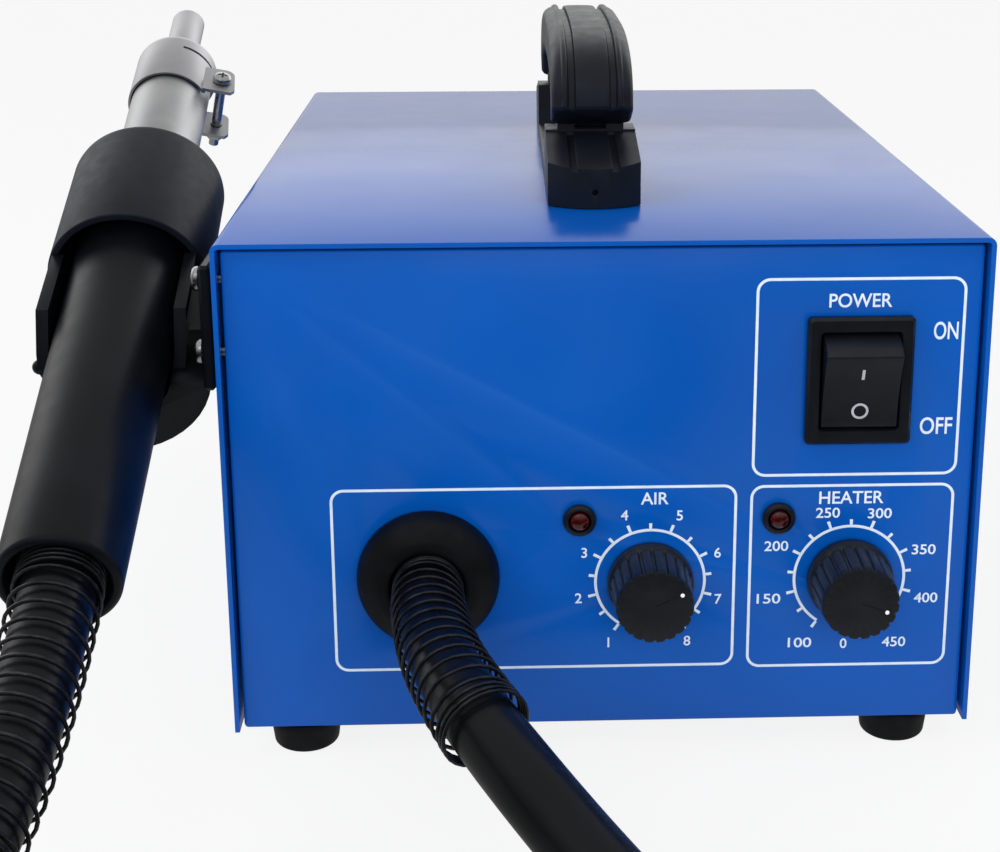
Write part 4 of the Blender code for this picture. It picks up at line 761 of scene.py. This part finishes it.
def make_feet():
    profile = [
        (0, 0.0008),
        (0.0040, 0.0008),
        (0.0046, 0),
        (0.0076, 0),
        (0.0083, 0.0007),
        (0.0090, 0.0062),
        (0.0088, 0.0073),
        (0.0084, 0.0077),
        (0, 0.0077),
    ]
    places = []
    nodes = []
    for side, side_name in ((-1, "left"), (1, "right")):
        for end, end_name in ((-1, "front"), (1, "rear")):
            spot = Vector((side * (HALF_WIDTH - FOOT_IN[0]), end * (HALF_DEPTH - FOOT_IN[1]), 0))
            places.append((CASE + spot, (0, 0, 0)))
            nodes.append(f"foot_{side_name}_{end_name}")
    data = repeated(lathe(rounded(profile, 0.0005), 48), places, RUBBER)
    dress("rubber_feet", data, RUBBER, "station", nodes)


make_feet()


# Carrying handle
HANDLE_AT = CASE + Vector((-0.0007, -0.0148, TOP_Z))
GRIP_REACH = 0.0595
GRIP_LIP = 0.020
GRIP_RISE = 0.0228


def grip_section():
    """The grip across, as (across, in from its outer face): two grooves with raised lips."""
    half = 0.0107
    right = [
        (0.0, -0.00015),
        (0.0030, -0.00010),
        (0.0041, 0.0),
        (0.0044, 0.00012),
        (0.00455, 0.0006),
        (0.0047, 0.00105),
        (0.0062, 0.00105),
        (0.00635, 0.0006),
        (0.0065, -0.0001),
        (0.0068, -0.00035),
        (0.0075, -0.00035),
        (0.0079, -0.0001),
        (0.0081, 0.0003),
        (0.0090, 0.0006),
        (0.0099, 0.0012),
        (half - 0.0002, 0.0021),
        (half, 0.0030),
    ]
    lower = [(half, 0.0095)]
    lower += [(half - 0.0022 + x, 0.0103 + y) for x, y in arc((0, 0), 0.0022, 0, 90, 5)]
    side = right + lower
    return side + [(-x, y) for x, y in reversed(side[1:])]


def grip_line():
    """(place, inward direction) along the arch in the YZ plane, a squared oval over its lips."""
    line = []
    for k in range(57):
        u = 1 - k / 28
        normal = pi / 2 * (1 + u * abs(u))
        c, s = GRIP_REACH * abs(cos(normal)), GRIP_RISE * sin(normal)
        size = (c**1.5 + max(s, 0) ** 1.5) ** (1 / 3)
        y = -GRIP_REACH * c**0.5 / size * (1 if u > 0 else -1)
        z = GRIP_LIP + GRIP_RISE * max(s, 0) ** 0.5 / size
        line.append(((y, z), (-cos(normal), -sin(normal))))
    return line


def make_grip():
    section = grip_section()
    rings = []
    for (y, z), (iy, iz) in grip_line():
        rings.append([Vector((u, y + iy * v, z + iz * v)) for u, v in section])
    for end in (0, -1):
        rings[end] = [p + Vector((0, 0, 0.0037 - 0.47 * v)) for p, (u, v) in zip(rings[end], section)]
    for end in (0, -1):
        middle = sum(rings[end], Vector()) / len(section)
        small = [middle + (p - middle) * 0.90 for p in rings[end]]
        near = [middle + (p - middle) * 0.97 + Vector((0, 0, 0.0003)) for p in rings[end]]
        full = [p + Vector((0, 0, 0.0009)) for p in rings[end]]
        if end == 0:
            rings = [small, near, full] + rings[1:]
        else:
            rings = rings[:-1] + [full, near, small]
    data = placed(loft(rings), Matrix.Translation(HANDLE_AT))
    dress("carrying_grip", data, HANDLE_PP, "station", ["handle_grip"], 40)


make_grip()
dress(
    "carrying_handle_base",
    softened("handle_base", 0.0006, 3, 25),
    HANDLE_PP,
    "station",
    ["handle_base"],
    40,
)


# Printed words, boxes and scales: one layer of ink
INK_THICK = 0.00004
INK_OUT = 0.00004
LINE_WIDTH = 0.0007
BOX_CORNER = 0.0034


def word(shape, text, centre, height, width):
    """A word in the default face, fitted to its size in metres and set in the ink layer."""
    curve = bpy.data.curves.new("word", "FONT")
    curve.body = text
    curve.align_x = "CENTER"
    curve.extrude = 0.5
    curve.offset = 0.012
    curve.resolution_u = 6
    data = applied(as_object(curve))
    low = [min(v.co[k] for v in data.vertices) for k in (0, 1)]
    high = [max(v.co[k] for v in data.vertices) for k in (0, 1)]
    tall = height / (high[1] - low[1])
    wide = width / (high[0] - low[0]) if width else tall
    to_middle = Matrix.Translation((-(low[0] + high[0]) / 2, -(low[1] + high[1]) / 2, 0))
    fit = Matrix.Diagonal((wide, tall, INK_THICK, 1))
    data.transform(on_panel(centre, INK_OUT) @ fit @ to_middle)
    shape.from_mesh(data)


def band(shape, outer, inner, matrix=None, closed=True):
    """A flat strip of ink between two lines of points on the panel."""
    matrix = matrix or on_panel((0, 0), INK_OUT)
    layers = []
    for depth in (-INK_THICK / 2, INK_THICK / 2):
        lines = [[matrix @ Vector((x, y, depth)) for x, y in line] for line in (outer, inner)]
        layers.append([[shape.verts.new(point) for point in line] for line in lines])
    (a, b), (c, d) = layers
    count = len(outer)
    for i in range(count if closed else count - 1):
        j = (i + 1) % count
        shape.faces.new((a[i], a[j], b[j], b[i]))
        shape.faces.new((c[i], d[i], d[j], c[j]))
        shape.faces.new((a[i], c[i], c[j], a[j]))
        shape.faces.new((b[i], b[j], d[j], d[i]))
    if not closed:
        shape.faces.new((a[0], b[0], d[0], c[0]))
        shape.faces.new((a[-1], c[-1], d[-1], b[-1]))


def round_box(left, right, low, high, radius):
    points = arc((right - radius, high - radius), radius, 0, 90, 8)
    points += arc((left + radius, high - radius), radius, 90, 180, 8)
    points += arc((left + radius, low + radius), radius, 180, 270, 8)
    return points + arc((right - radius, low + radius), radius, 270, 360, 8)


def line_box(shape, left, right, low, high):
    w = LINE_WIDTH
    inner = round_box(left + w, right - w, low + w, high - w, BOX_CORNER - w)
    band(shape, round_box(left, right, low, high, BOX_CORNER), inner)


def clock(centre, radius, turn):
    """A point at that many degrees clockwise from the top."""
    return (centre[0] + radius * sin(radians(turn)), centre[1] + radius * cos(radians(turn)))


SCALE_HALF_SPAN = 146
TICKS = 15
TICK_HALF = 0.00036
LABEL_HEIGHT = 0.0027
LABEL_WIDTH = 0.0060


def scale(shape, centre, radius, labels):
    """An arc with ticks outside it, every second one longer, and its labels by the clock."""
    span = 2 * SCALE_HALF_SPAN
    turns = [-SCALE_HALF_SPAN + span * i / 72 for i in range(73)]
    outer = [clock(centre, radius + LINE_WIDTH / 2, t) for t in turns]
    inner = [clock(centre, radius - LINE_WIDTH / 2, t) for t in turns]
    band(shape, outer, inner, closed=False)
    for i in range(TICKS):
        turn = -SCALE_HALF_SPAN + span * i / (TICKS - 1)
        start = radius + LINE_WIDTH / 2 + 0.00002
        end = radius + (0.0018 if i % 2 else 0.0023)
        half = degrees(TICK_HALF / (radius + 0.001))
        corners = [clock(centre, r, turn + s * half) for r, s in ((start, -1), (end, -1))]
        others = [clock(centre, r, turn + s * half) for r, s in ((start, 1), (end, 1))]
        band(shape, corners, others, closed=False)
    for text, turn, reach in labels:
        width = LABEL_WIDTH if len(text) > 1 else None
        word(shape, text, clock(centre, reach, turn), LABEL_HEIGHT, width)


# Each label with its turn and its distance from the knob's middle
HEATER_LABELS = [
    ("0", -177.7, 0.0181),
    ("100", -146.0, 0.0213),
    ("150", -105.1, 0.0209),
    ("200", -64.7, 0.0206),
    ("250", -18.8, 0.0185),
    ("300", 22.3, 0.0186),
    ("350", 68.5, 0.0200),
    ("400", 106.4, 0.0206),
    ("450", 145.7, 0.0216),
]
AIR_LABELS = [
    ("1", -148.1, 0.0196),
    ("2", -103.8, 0.0185),
    ("3", -64.6, 0.0183),
    ("4", -20.2, 0.0189),
    ("5", 22.4, 0.0189),
    ("6", 66.4, 0.0184),
    ("7", 106.8, 0.0180),
    ("8", 149.9, 0.0191),
]


# Each box's left, right, lower and upper edge
BOXES = [
    (0.0364, 0.0875, 0.0664, 0.1171),
    (0.0363, 0.0873, 0.0148, 0.0642),
    (-0.0677, 0.03305, 0.0155, 0.0645),
]
# Each word with its middle, height and width
WORDS = [
    ("POWER", (0.06175, 0.11135), 0.0035, 0.0153),
    ("ON", (0.0829, 0.10355), 0.0045, 0.0060),
    ("OFF", (0.0817, 0.0792), 0.0044, 0.0080),
    ("HEATER", (0.06155, 0.06065), 0.0033, 0.0161),
    ("AIR", (0.01255, 0.0611), 0.0032, 0.0069),
]


def make_print():
    shape = bmesh.new()
    for box in BOXES:
        line_box(shape, *box)
    for text, centre, height, width in WORDS:
        word(shape, text, centre, height, width)
    scale(shape, HEATER_AT, 0.0139, HEATER_LABELS)
    scale(shape, (AIR_AT[0], AIR_AT[1] - 0.0001), 0.0137, AIR_LABELS)
    dress("panel_print", placed(shape), INK, "station")


make_print()


# Power switch
PIVOT = CASE + Vector((SWITCH_AT[0], PANEL_Y + 0.0011, BASE_Z + SWITCH_AT[1]))
ROCKER_RADIUS = 0.012
ROCKER_TILT = 15
ROCKER_REACH = 56
ROCKER_FACE = 0.0056
SWITCH_SHIFT = -0.0005


BEZEL_HALF = (0.0130, 0.01615)
OPENING_HALF = (0.0097, 0.0124)
ROCKER_HALF_WIDTH = 0.0093
ROCKER_BACK = 0.0042


def around(half, grow, corner):
    """A rounded box round the switch's middle, its half sizes grown by that much."""
    return round_box(-half[0] - grow, half[0] + grow, -half[1] - grow, half[1] + grow, corner)


def bend(ends, pull, t):
    """The point that share of the way along a curve pulled towards a point."""
    return ends[0] * (1 - t) ** 2 + pull * 2 * t * (1 - t) + ends[1] * t**2


def make_switch():
    outer = around(BEZEL_HALF, 0, 0.0012)
    hole = around(OPENING_HALF, 0, 0.0008)
    shell = around(OPENING_HALF, 0.0015, 0.0008)
    levels = [
        (shell, -0.0165),
        (shell, 0.0),
        (outer, 0.0),
        (outer, 0.0014),
        (around(BEZEL_HALF, -0.0007, 0.0009), 0.0022),
        (around(OPENING_HALF, 0.0009, 0.0014), 0.0023),
        (around(OPENING_HALF, 0.0003, 0.0010), 0.0022),
        (hole, 0.0018),
        (hole, -0.0135),
    ]
    shape = loft([[(x, y, z) for x, y in ring] for ring, z in levels])
    data = placed(shape, on_panel((SWITCH_AT[0] + SWITCH_SHIFT, SWITCH_AT[1]), SEAT_GAP))
    dress("switch_bezel", data, SWITCH_PBT, "station", ["power_switch_body"], 40)
    back = degrees(asin(ROCKER_BACK / ROCKER_RADIUS))
    tilt = radians(ROCKER_TILT)
    turn = [180 + ROCKER_TILT + ROCKER_REACH, 180 + ROCKER_TILT - ROCKER_REACH]
    low_end = arc((0, 0), ROCKER_RADIUS, turn[0], 270 + back, 10)
    high_end = arc((0, 0), ROCKER_RADIUS, 90 - back, turn[1], 14)
    middle = Vector((-ROCKER_FACE * cos(tilt), -ROCKER_FACE * sin(tilt)))
    top, bottom = Vector(high_end[-1]), Vector(low_end[0])
    deep = middle * 2 - (top + bottom) / 2
    face = [tuple(bend((top, bottom), deep, k / 12)) for k in range(1, 12)]
    outline = face + low_end + high_end
    middle_at = PIVOT + Vector((SWITCH_SHIFT, 0, 0))
    solid = push(outline, -ROCKER_HALF_WIDTH, ROCKER_HALF_WIDTH, "X")
    work = as_object(placed(solid, Matrix.Translation(middle_at)))
    soften(work, 0.0004, 3, 30)
    dress("power_rocker_cap", applied(work), SWITCH_PBT, "rocker", ["power_rocker"], 40)
    marks = bmesh.new()

    def on_face(share):
        """A frame on the rocker's hollow face, that share of the way down it."""
        spot = bend((top, bottom), deep, share)
        slope = (deep - top) * (1 - share) + (bottom - deep) * share
        lean = slope.angle(Vector((0, -1)))
        place = Matrix.Translation(middle_at + Vector((0, spot.x - INK_OUT, spot.y)))
        return place @ Matrix.Rotation(pi / 2 + lean, 4, "X")

    bar = [(-0.00035, -0.0015), (-0.00035, 0.0015)]
    band(marks, bar, [(-x, y) for x, y in bar], on_face(0.27), closed=False)
    ring_turns = [2 * pi * k / 40 for k in range(40)]
    outer = [(0.0021 * cos(t), 0.0021 * sin(t)) for t in ring_turns]
    inner = [(0.0015 * cos(t), 0.0015 * sin(t)) for t in ring_turns]
    band(marks, outer, inner, on_face(0.79))
    dress("rocker_marks", placed(marks), GREY_INK, "rocker")


make_switch()


# Knobs: each ring's radius, height and depth of flute, from the skirt to the middle of the face
KNOB_OUT = 0.00075
KNOB_RINGS = [
    (0.0103, 0.0, 0),
    (0.0108, 0.0004, 0),
    (0.0108, 0.0021, 0),
    (0.0107, 0.0025, 0),
    (0.0103, 0.0030, 0),
    (0.01005, 0.0034, 0.0002),
    (0.0100, 0.0040, 0.0006),
    (0.0096, 0.0138, 0.0006),
    (0.00955, 0.0146, 0.0006),
    (0.0094, 0.01495, 0.0005),
    (0.0091, 0.0151, 0.0003),
    (0.0086, 0.0152, 0),
    (0.0030, 0.0151, 0),
]
RIDGE_HALF = 0.00012


def knob_ring(radius, height, depth):
    """One ring of the grip: smooth round it, with square-bottomed flutes of that depth."""
    flutes, steps = 20, 12
    points = []
    for i in range(flutes * steps):
        turn = 2 * pi * i / (flutes * steps)
        wave = cos(turn * flutes)
        cut = min(max((wave - 0.45) * 4, 0), 1)
        r = radius - depth * cut
        points.append((r * cos(turn), r * sin(turn), height))
    return points


def make_knob(name, place, dot):
    """A fluted knob with a thin ridge on its face and a white dot at the ridge's end."""
    frame_at = on_panel(place, KNOB_OUT)
    data = placed(loft([knob_ring(*ring) for ring in KNOB_RINGS]), frame_at)
    body = f"{name}_dial"
    dress(f"{name}_fluted_knob", data, KNOB_ABS, body, [f"{name}_knob"], 28)
    lean = Vector(dot).normalized()
    side = Vector((-lean.y, lean.x)) * RIDGE_HALF
    near, far = lean * 0.0004, lean * 0.0062
    ridge = [near - side, far - side, far + side, near + side]
    shape = push([tuple(p) for p in ridge], 0.0150, 0.0153)
    dress(f"{name}_knob_line", placed(shape, frame_at), KNOB_ABS, body)
    spot = lathe([(0, 0.0151), (0.00052, 0.0151), (0.00052, 0.01525), (0.0004, 0.0153), (0, 0.0153)], 24)
    data = placed(spot, frame_at @ Matrix.Translation((dot[0], dot[1], 0)))
    dress(f"{name}_knob_pointer", data, WHITE_INK, body)


make_knob("heater", HEATER_AT, (0.00645, -0.00231))
make_knob("air", AIR_AT, (0.00657, 0.00305))


# Lamps
def make_lamp(name, place):
    frame_at = on_panel(place, SEAT_GAP)
    bezel = [
        (0.0027, -0.006),
        (0.0032, -0.006),
        (0.0032, 0),
        (0.00415, 0),
        (0.00412, 0.0008),
        (0.0037, 0.0014),
        (0.0031, 0.00165),
        (0.0028, 0.0015),
        (0.0027, 0.0010),
    ]
    data = placed(lathe(rounded(bezel, 0.0002), 64), frame_at)
    dress(f"{name}_lamp_holder", data, SWITCH_PBT, "station", [f"{name}_lamp_bezel"], 40)
    lens = [(0, -0.006), (0.0024, -0.006), (0.0024, 0.0012)]
    lens += [(0.0024 * cos(t), 0.0012 + 0.0015 * sin(t)) for t in [pi / 2 * k / 8 for k in range(1, 8)]]
    lens.append((0, 0.0027))
    data = placed(lathe(lens, 48), frame_at)
    dress(f"{name}_lamp_lens", data, LENS, "station", [f"{name}_lamp"], 60)


make_lamp("heater", (0.0435, 0.0556))
make_lamp("air", (-0.0061, 0.0558))

# Grommet
grommet = [
    (0.0092, -0.0043),
    (0.0155, -0.0043),
    (0.0155, -0.0018),
    (0.0130, -0.0018),
    (0.0130, 0),
    (0.0178, 0),
    (0.01765, 0.0022),
    (0.0170, 0.0042),
    (0.0159, 0.0056),
    (0.0142, 0.0068),
    (0.0122, 0.0077),
    (0.0104, 0.0080),
    (0.0094, 0.0078),
    (0.0092, 0.0070),
]
grommet_data = placed(lathe(rounded(grommet, 0.0004)), on_panel(GROMMET_AT, SEAT_GAP))
dress("domed_grommet", grommet_data, RUBBER, "station", ["hose_grommet"], 50)


# Handpiece
def turned_on_axis(name, profile, finish, node_name, soft):
    """A piece turned round the handpiece's axis, its corners softened."""
    data = placed(lathe(rounded(profile, soft)), AXIS)
    dress(name, data, finish, "handpiece", [node_name], 40)


def make_handpiece():
    handle = [
        (0.0100, -0.0520),
        (0.0100, -0.0610),
        (0.0112, -0.0645),
        (0.0118, -0.0650),
        (0.0126, -0.0650),
        (0.0135, -0.0641),
        (0.0138, -0.0400),
        (0.0143, 0.0050),
        (0.0147, 0.0431),
        (0.0147, 0.0865),
        (0.0113, 0.0865),
        (0.0113, 0.0581),
        (0.0118, 0.0541),
        (0.0118, -0.0340),
        (0.0063, -0.0340),
        (0.0063, -0.0380),
        (0.0083, -0.0380),
        (0.0083, -0.0520),
    ]
    turned_on_axis("handle_sleeve", handle, BLACK_ABS, "handpiece_handle", 0.0006)
    collar = [
        (0.01875, 0.0431),
        (0.02035, 0.0431),
        (0.02055, 0.0434),
        (0.02055, 0.0845),
        (0.0203, 0.0858),
        (0.0195, 0.0869),
        (0.0182, 0.0876),
        (0.0165, 0.0878),
        (0.0113, 0.0878),
        (0.0113, 0.0868),
        (0.0181, 0.0868),
        (0.01855, 0.0860),
    ]
    turned_on_axis("heat_collar", collar, COLLAR_NYLON, "handpiece_collar", 0.0003)
    barrel = [(0.0102, 0.0584), (0.0110, 0.0584), (0.0110, 0.1480), (0.0102, 0.1480)]
    turned_on_axis("polished_barrel", barrel, STAINLESS, "heater_barrel", 0.0002)


make_handpiece()


def on_clamp(y):
    """A frame on the clamp screw's axis at that depth across the ears."""
    return EARS @ Matrix.Translation((-0.0141, y, 0.00625)) @ Matrix.Rotation(-pi / 2, 4, "X")


def make_nozzle():
    """The clamping cup, its shoulder and pipe, with the two ears and the slits."""
    cup_in, cup_out, wall = 0.0113, 0.0120, 0.0007
    pipe_out, pipe_in = 0.0050, 0.0045
    start, pipe_start, tip = 0.0205, 0.0260, 0.0522

    def shoulder(wide, narrow, low, high):
        turns = [pi / 2 * k / 12 for k in range(13)]
        return [(narrow + (wide - narrow) * cos(t), low + (high - low) * sin(t)) for t in turns]

    outer = [(cup_in, 0), (cup_out - 0.0001, 0), (cup_out, 0.0002)]
    outer += shoulder(cup_out, pipe_out, start, pipe_start)
    outer += [(pipe_out, tip - 0.0002), (pipe_out - 0.0001, tip), (pipe_in, tip)]
    outer += shoulder(cup_in, pipe_in, start - wall, pipe_start - wall)[::-1]
    base = lathe(outer, 96)
    base.transform(EARS)
    joins = []
    for side in (-1, 1):
        low_y = 0.00725 if side > 0 else -0.00825
        ear = arc((-0.0146, 0.0068), 0.0030, 90, 180, 6)
        ear = [(-0.0088, 0.0005), (-0.0088, 0.0130)] + [(x, z + 0.0032) for x, z in ear]
        ear += [(-0.0182, 0.0022), (-0.0172, 0.0005)]
        shape = loft([[(x, y, z) for x, z in ear] for y in (low_y, low_y + 0.001)])
        shape.transform(EARS)
        joins.append(shape)
    drill = lathe([(0, -0.02), (0.00175, -0.02), (0.00175, 0.02), (0, 0.02)], 32)
    drill.transform(on_clamp(0))
    room = lathe([(0, -0.002), (cup_in, -0.002), (cup_in, start - wall), (0, start - wall)], 96)
    slit = block((-0.0202, -0.012, 0.0156), (-0.0012, 0.012, 0.0168))
    gap = block((-0.0122, -0.00685, -0.002), (-0.0079, 0.00685, 0.0162))
    cuts = [room, slit, gap]
    for shape in cuts:
        shape.transform(EARS)
    data = carved(base, joins, cuts + [drill])
    dress("clamping_nozzle", data, SATIN_STAINLESS, "nozzle", ["nozzle"], 35)
    screw = placed(pan_head(0.00275, 0.0020, 0.00145, 0.0225), on_clamp(0.00855))
    dress("clamp_cross_screw", screw, ZINC, "clamp_screw", ["clamp_screw"], 35)
    hexagon = arc((0, 0), 0.003175, 0, 300, 5)
    hole = lathe([(0, -0.01), (0.00152, -0.01), (0.00152, 0.01), (0, 0.01)], 32)
    data = carved(push(hexagon, 0, 0.0024), cuts=[hole], edge=0.00015)
    data.transform(on_clamp(-0.01095))
    dress("clamp_hex_nut", data, ZINC, "nozzle", ["clamp_nut"], 35)


make_nozzle()

# Holder, with the small ball at its arm's end
holder_data = softened("holder", 0.0005, 3, 30)
dress("side_holder", holder_data, BLACK_ABS, "station", ["holder"], 40)
BALL_RADIUS = 0.0019
ball_side = arc((0, 0), BALL_RADIUS, -75, 75, 10)
ball = lathe([(0, -BALL_RADIUS), *ball_side, (0, BALL_RADIUS)], 32)
ball_at = AXIS @ Matrix.Translation((0.0179, -0.0040, 0.0130))
dress("holder_end_stop", placed(ball, ball_at), BLACK_ABS, "station", sharp=60)


# Rear and inner nodes keep their shapes
KEPT = {
    "heater_shaft": ZINC,
    "air_shaft": ZINC,
    "heater_potentiometer": CORE_STEEL,
    "air_potentiometer": CORE_STEEL,
    "control_board": BOARD,
    "heater_core": CERAMIC,
    "transformer": CORE_STEEL,
    "air_pump": PUMP_CAST,
    "fuse_holder": SWITCH_PBT,
}
for node_name, finish in KEPT.items():
    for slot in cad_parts[node_name].material_slots:
        slot.material = finish
REAR_PIECES = [("inlet_shell", "mains_inlet", "station"), ("fuse_cap_knob", "fuse_cap", "fuse_cap")]
for name, node_name, body in REAR_PIECES:
    data = softened(node_name, 0.0003)
    dress(name, data, SWITCH_PBT, body, [node_name], 35)


INLET_AT = (0.052, 0.100)
PIN_SPREAD = 0.007
PIN_LIFT = 0.002
PIN_ROOT = 0.0146


def make_inlet_pins():
    """Two pins side by side and the earth pin between and above them."""
    places = []
    for i in (-1, 0, 1):
        up = INLET_AT[1] + (-PIN_LIFT if i else PIN_LIFT)
        place = (INLET_AT[0] + i * PIN_SPREAD, REAR_Y + SEAT_GAP - PIN_ROOT, BASE_Z + up)
        places.append((CASE + Vector(place), (0, 0, 0)))
    pin = block((-0.00115, 0, -0.00215), (0.00115, 0.01225, 0.00215))
    dress("inlet_pins", repeated(pin, places, PIN_NICKEL), PIN_NICKEL, "station")


make_inlet_pins()


# Floor, world and lamps
BENCH_HALF = 4
BENCH_WHITE = 0.86


def shader(tree, kind, strength):
    """White light of that strength, from a surface or from the world."""
    return node(tree, kind, inputs={"Color": (1, 1, 1, 1), "Strength": strength}).outputs[0]


def chosen(tree, share, one, other):
    return node(tree, "ShaderNodeMixShader", inputs={0: share, 1: one, 2: other}).outputs[0]


def make_floor():
    """A pale bench top that keeps the shadow. Gloss sees it bright near the case, fading in front."""
    made, tree, surface = new_finish("pale_bench")
    tree.nodes.remove(surface)
    rays = node(tree, "ShaderNodeLightPath").outputs
    diffuse = node(tree, "ShaderNodeBsdfDiffuse", inputs={"Color": (0.82, 0.82, 0.82, 1)}).outputs[0]
    white = shader(tree, "ShaderNodeEmission", 1.0)
    seen = chosen(tree, BENCH_WHITE, diffuse, white)
    place = node(tree, "ShaderNodeTexCoord").outputs["Object"]
    depth = node(tree, "ShaderNodeSeparateXYZ", inputs={0: place}).outputs[1]
    front = CASE.y - HALF_DEPTH
    bright = ranged(tree, depth, 0.02, 0.36, front - 0.30, front - 0.01)
    mirrored = shader(tree, "ShaderNodeEmission", bright)
    glossy = chosen(tree, rays["Is Glossy Ray"], diffuse, mirrored)
    both = chosen(tree, rays["Is Camera Ray"], glossy, seen)
    tree.links.new(both, tree.nodes["Material Output"].inputs["Surface"])
    data = bpy.data.meshes.new("bench")
    b = BENCH_HALF
    data.from_pydata([(-b, -b, 0), (b, -b, 0), (b, b, 0), (-b, b, 0)], [], [(0, 1, 2, 3)])
    data.materials.append(made)
    floor = bpy.data.objects.new("bench", data)
    SCENE.collection.objects.link(floor)


def make_world():
    """White to the camera. Gloss sees a bright back and top and a dark room in front."""
    world = bpy.data.worlds.new("studio")
    SCENE.world = world
    world.use_nodes = True
    world.cycles.sampling_method = "NONE"
    tree = world.node_tree
    tree.nodes.clear()
    rays = node(tree, "ShaderNodeLightPath").outputs
    way = node(tree, "ShaderNodeTexCoord").outputs["Generated"]
    parts = node(tree, "ShaderNodeSeparateXYZ", inputs={0: way}).outputs
    low = ranged(tree, parts[2], 0.95, 1.55, 0.14, 0.27)
    fall = ranged(tree, parts[2], 1.0, 0.25, 0.48, 0.75)
    back = ranged(tree, parts[1], 0.03, 1.0, 0.0, 0.6)
    room = low
    for other in (fall, back):
        room = node(tree, "ShaderNodeMath", {"operation": "MULTIPLY"}, {0: room, 1: other}).outputs[0]
    # A soft ceiling and a faint left wall fill in where the back is dark
    above = ranged(tree, parts[2], 0.02, 0.50, 0.1, 0.7)
    left = ranged(tree, parts[0], 0.30, 0.0, -0.98, -0.6)
    for other in (above, left):
        room = node(tree, "ShaderNodeMath", {"operation": "MAXIMUM"}, {0: room, 1: other}).outputs[0]
    gloss, soft, seen = (shader(tree, "ShaderNodeBackground", strength) for strength in (room, 0.62, 1.0))
    lit = chosen(tree, rays["Is Glossy Ray"], soft, gloss)
    both = chosen(tree, rays["Is Camera Ray"], lit, seen)
    node(tree, "ShaderNodeOutputWorld", inputs={"Surface": both})


def lamp(name, spot, target, size, power, mirrored=True):
    """A soft rectangle aimed at a point, both measured from the case's middle on the bench."""
    data = bpy.data.lights.new(name, "AREA")
    data.shape = "RECTANGLE"
    data.size, data.size_y = size
    data.energy = power
    made = bpy.data.objects.new(name, data)
    SCENE.collection.objects.link(made)
    made.location = CASE + Vector(spot)
    made.rotation_euler = (CASE + Vector(target) - made.location).to_track_quat("-Z", "Y").to_euler()
    made.visible_glossy = mirrored
    made.visible_camera = False


make_floor()
make_world()
lamp("front_fill", (0.10, -1.3, 0.45), (0, 0, 0.08), (1.0, 0.7), 7.2, mirrored=False)
lamp("left_fill", (-0.9, -0.45, 0.75), (-0.1, 0, 0.1), (0.5, 0.7), 4.0, mirrored=False)
lamp("glint_strip", (-0.35, -0.9, 1.1), (-0.05, -0.1, 0.1), (0.05, 0.5), 0.25)
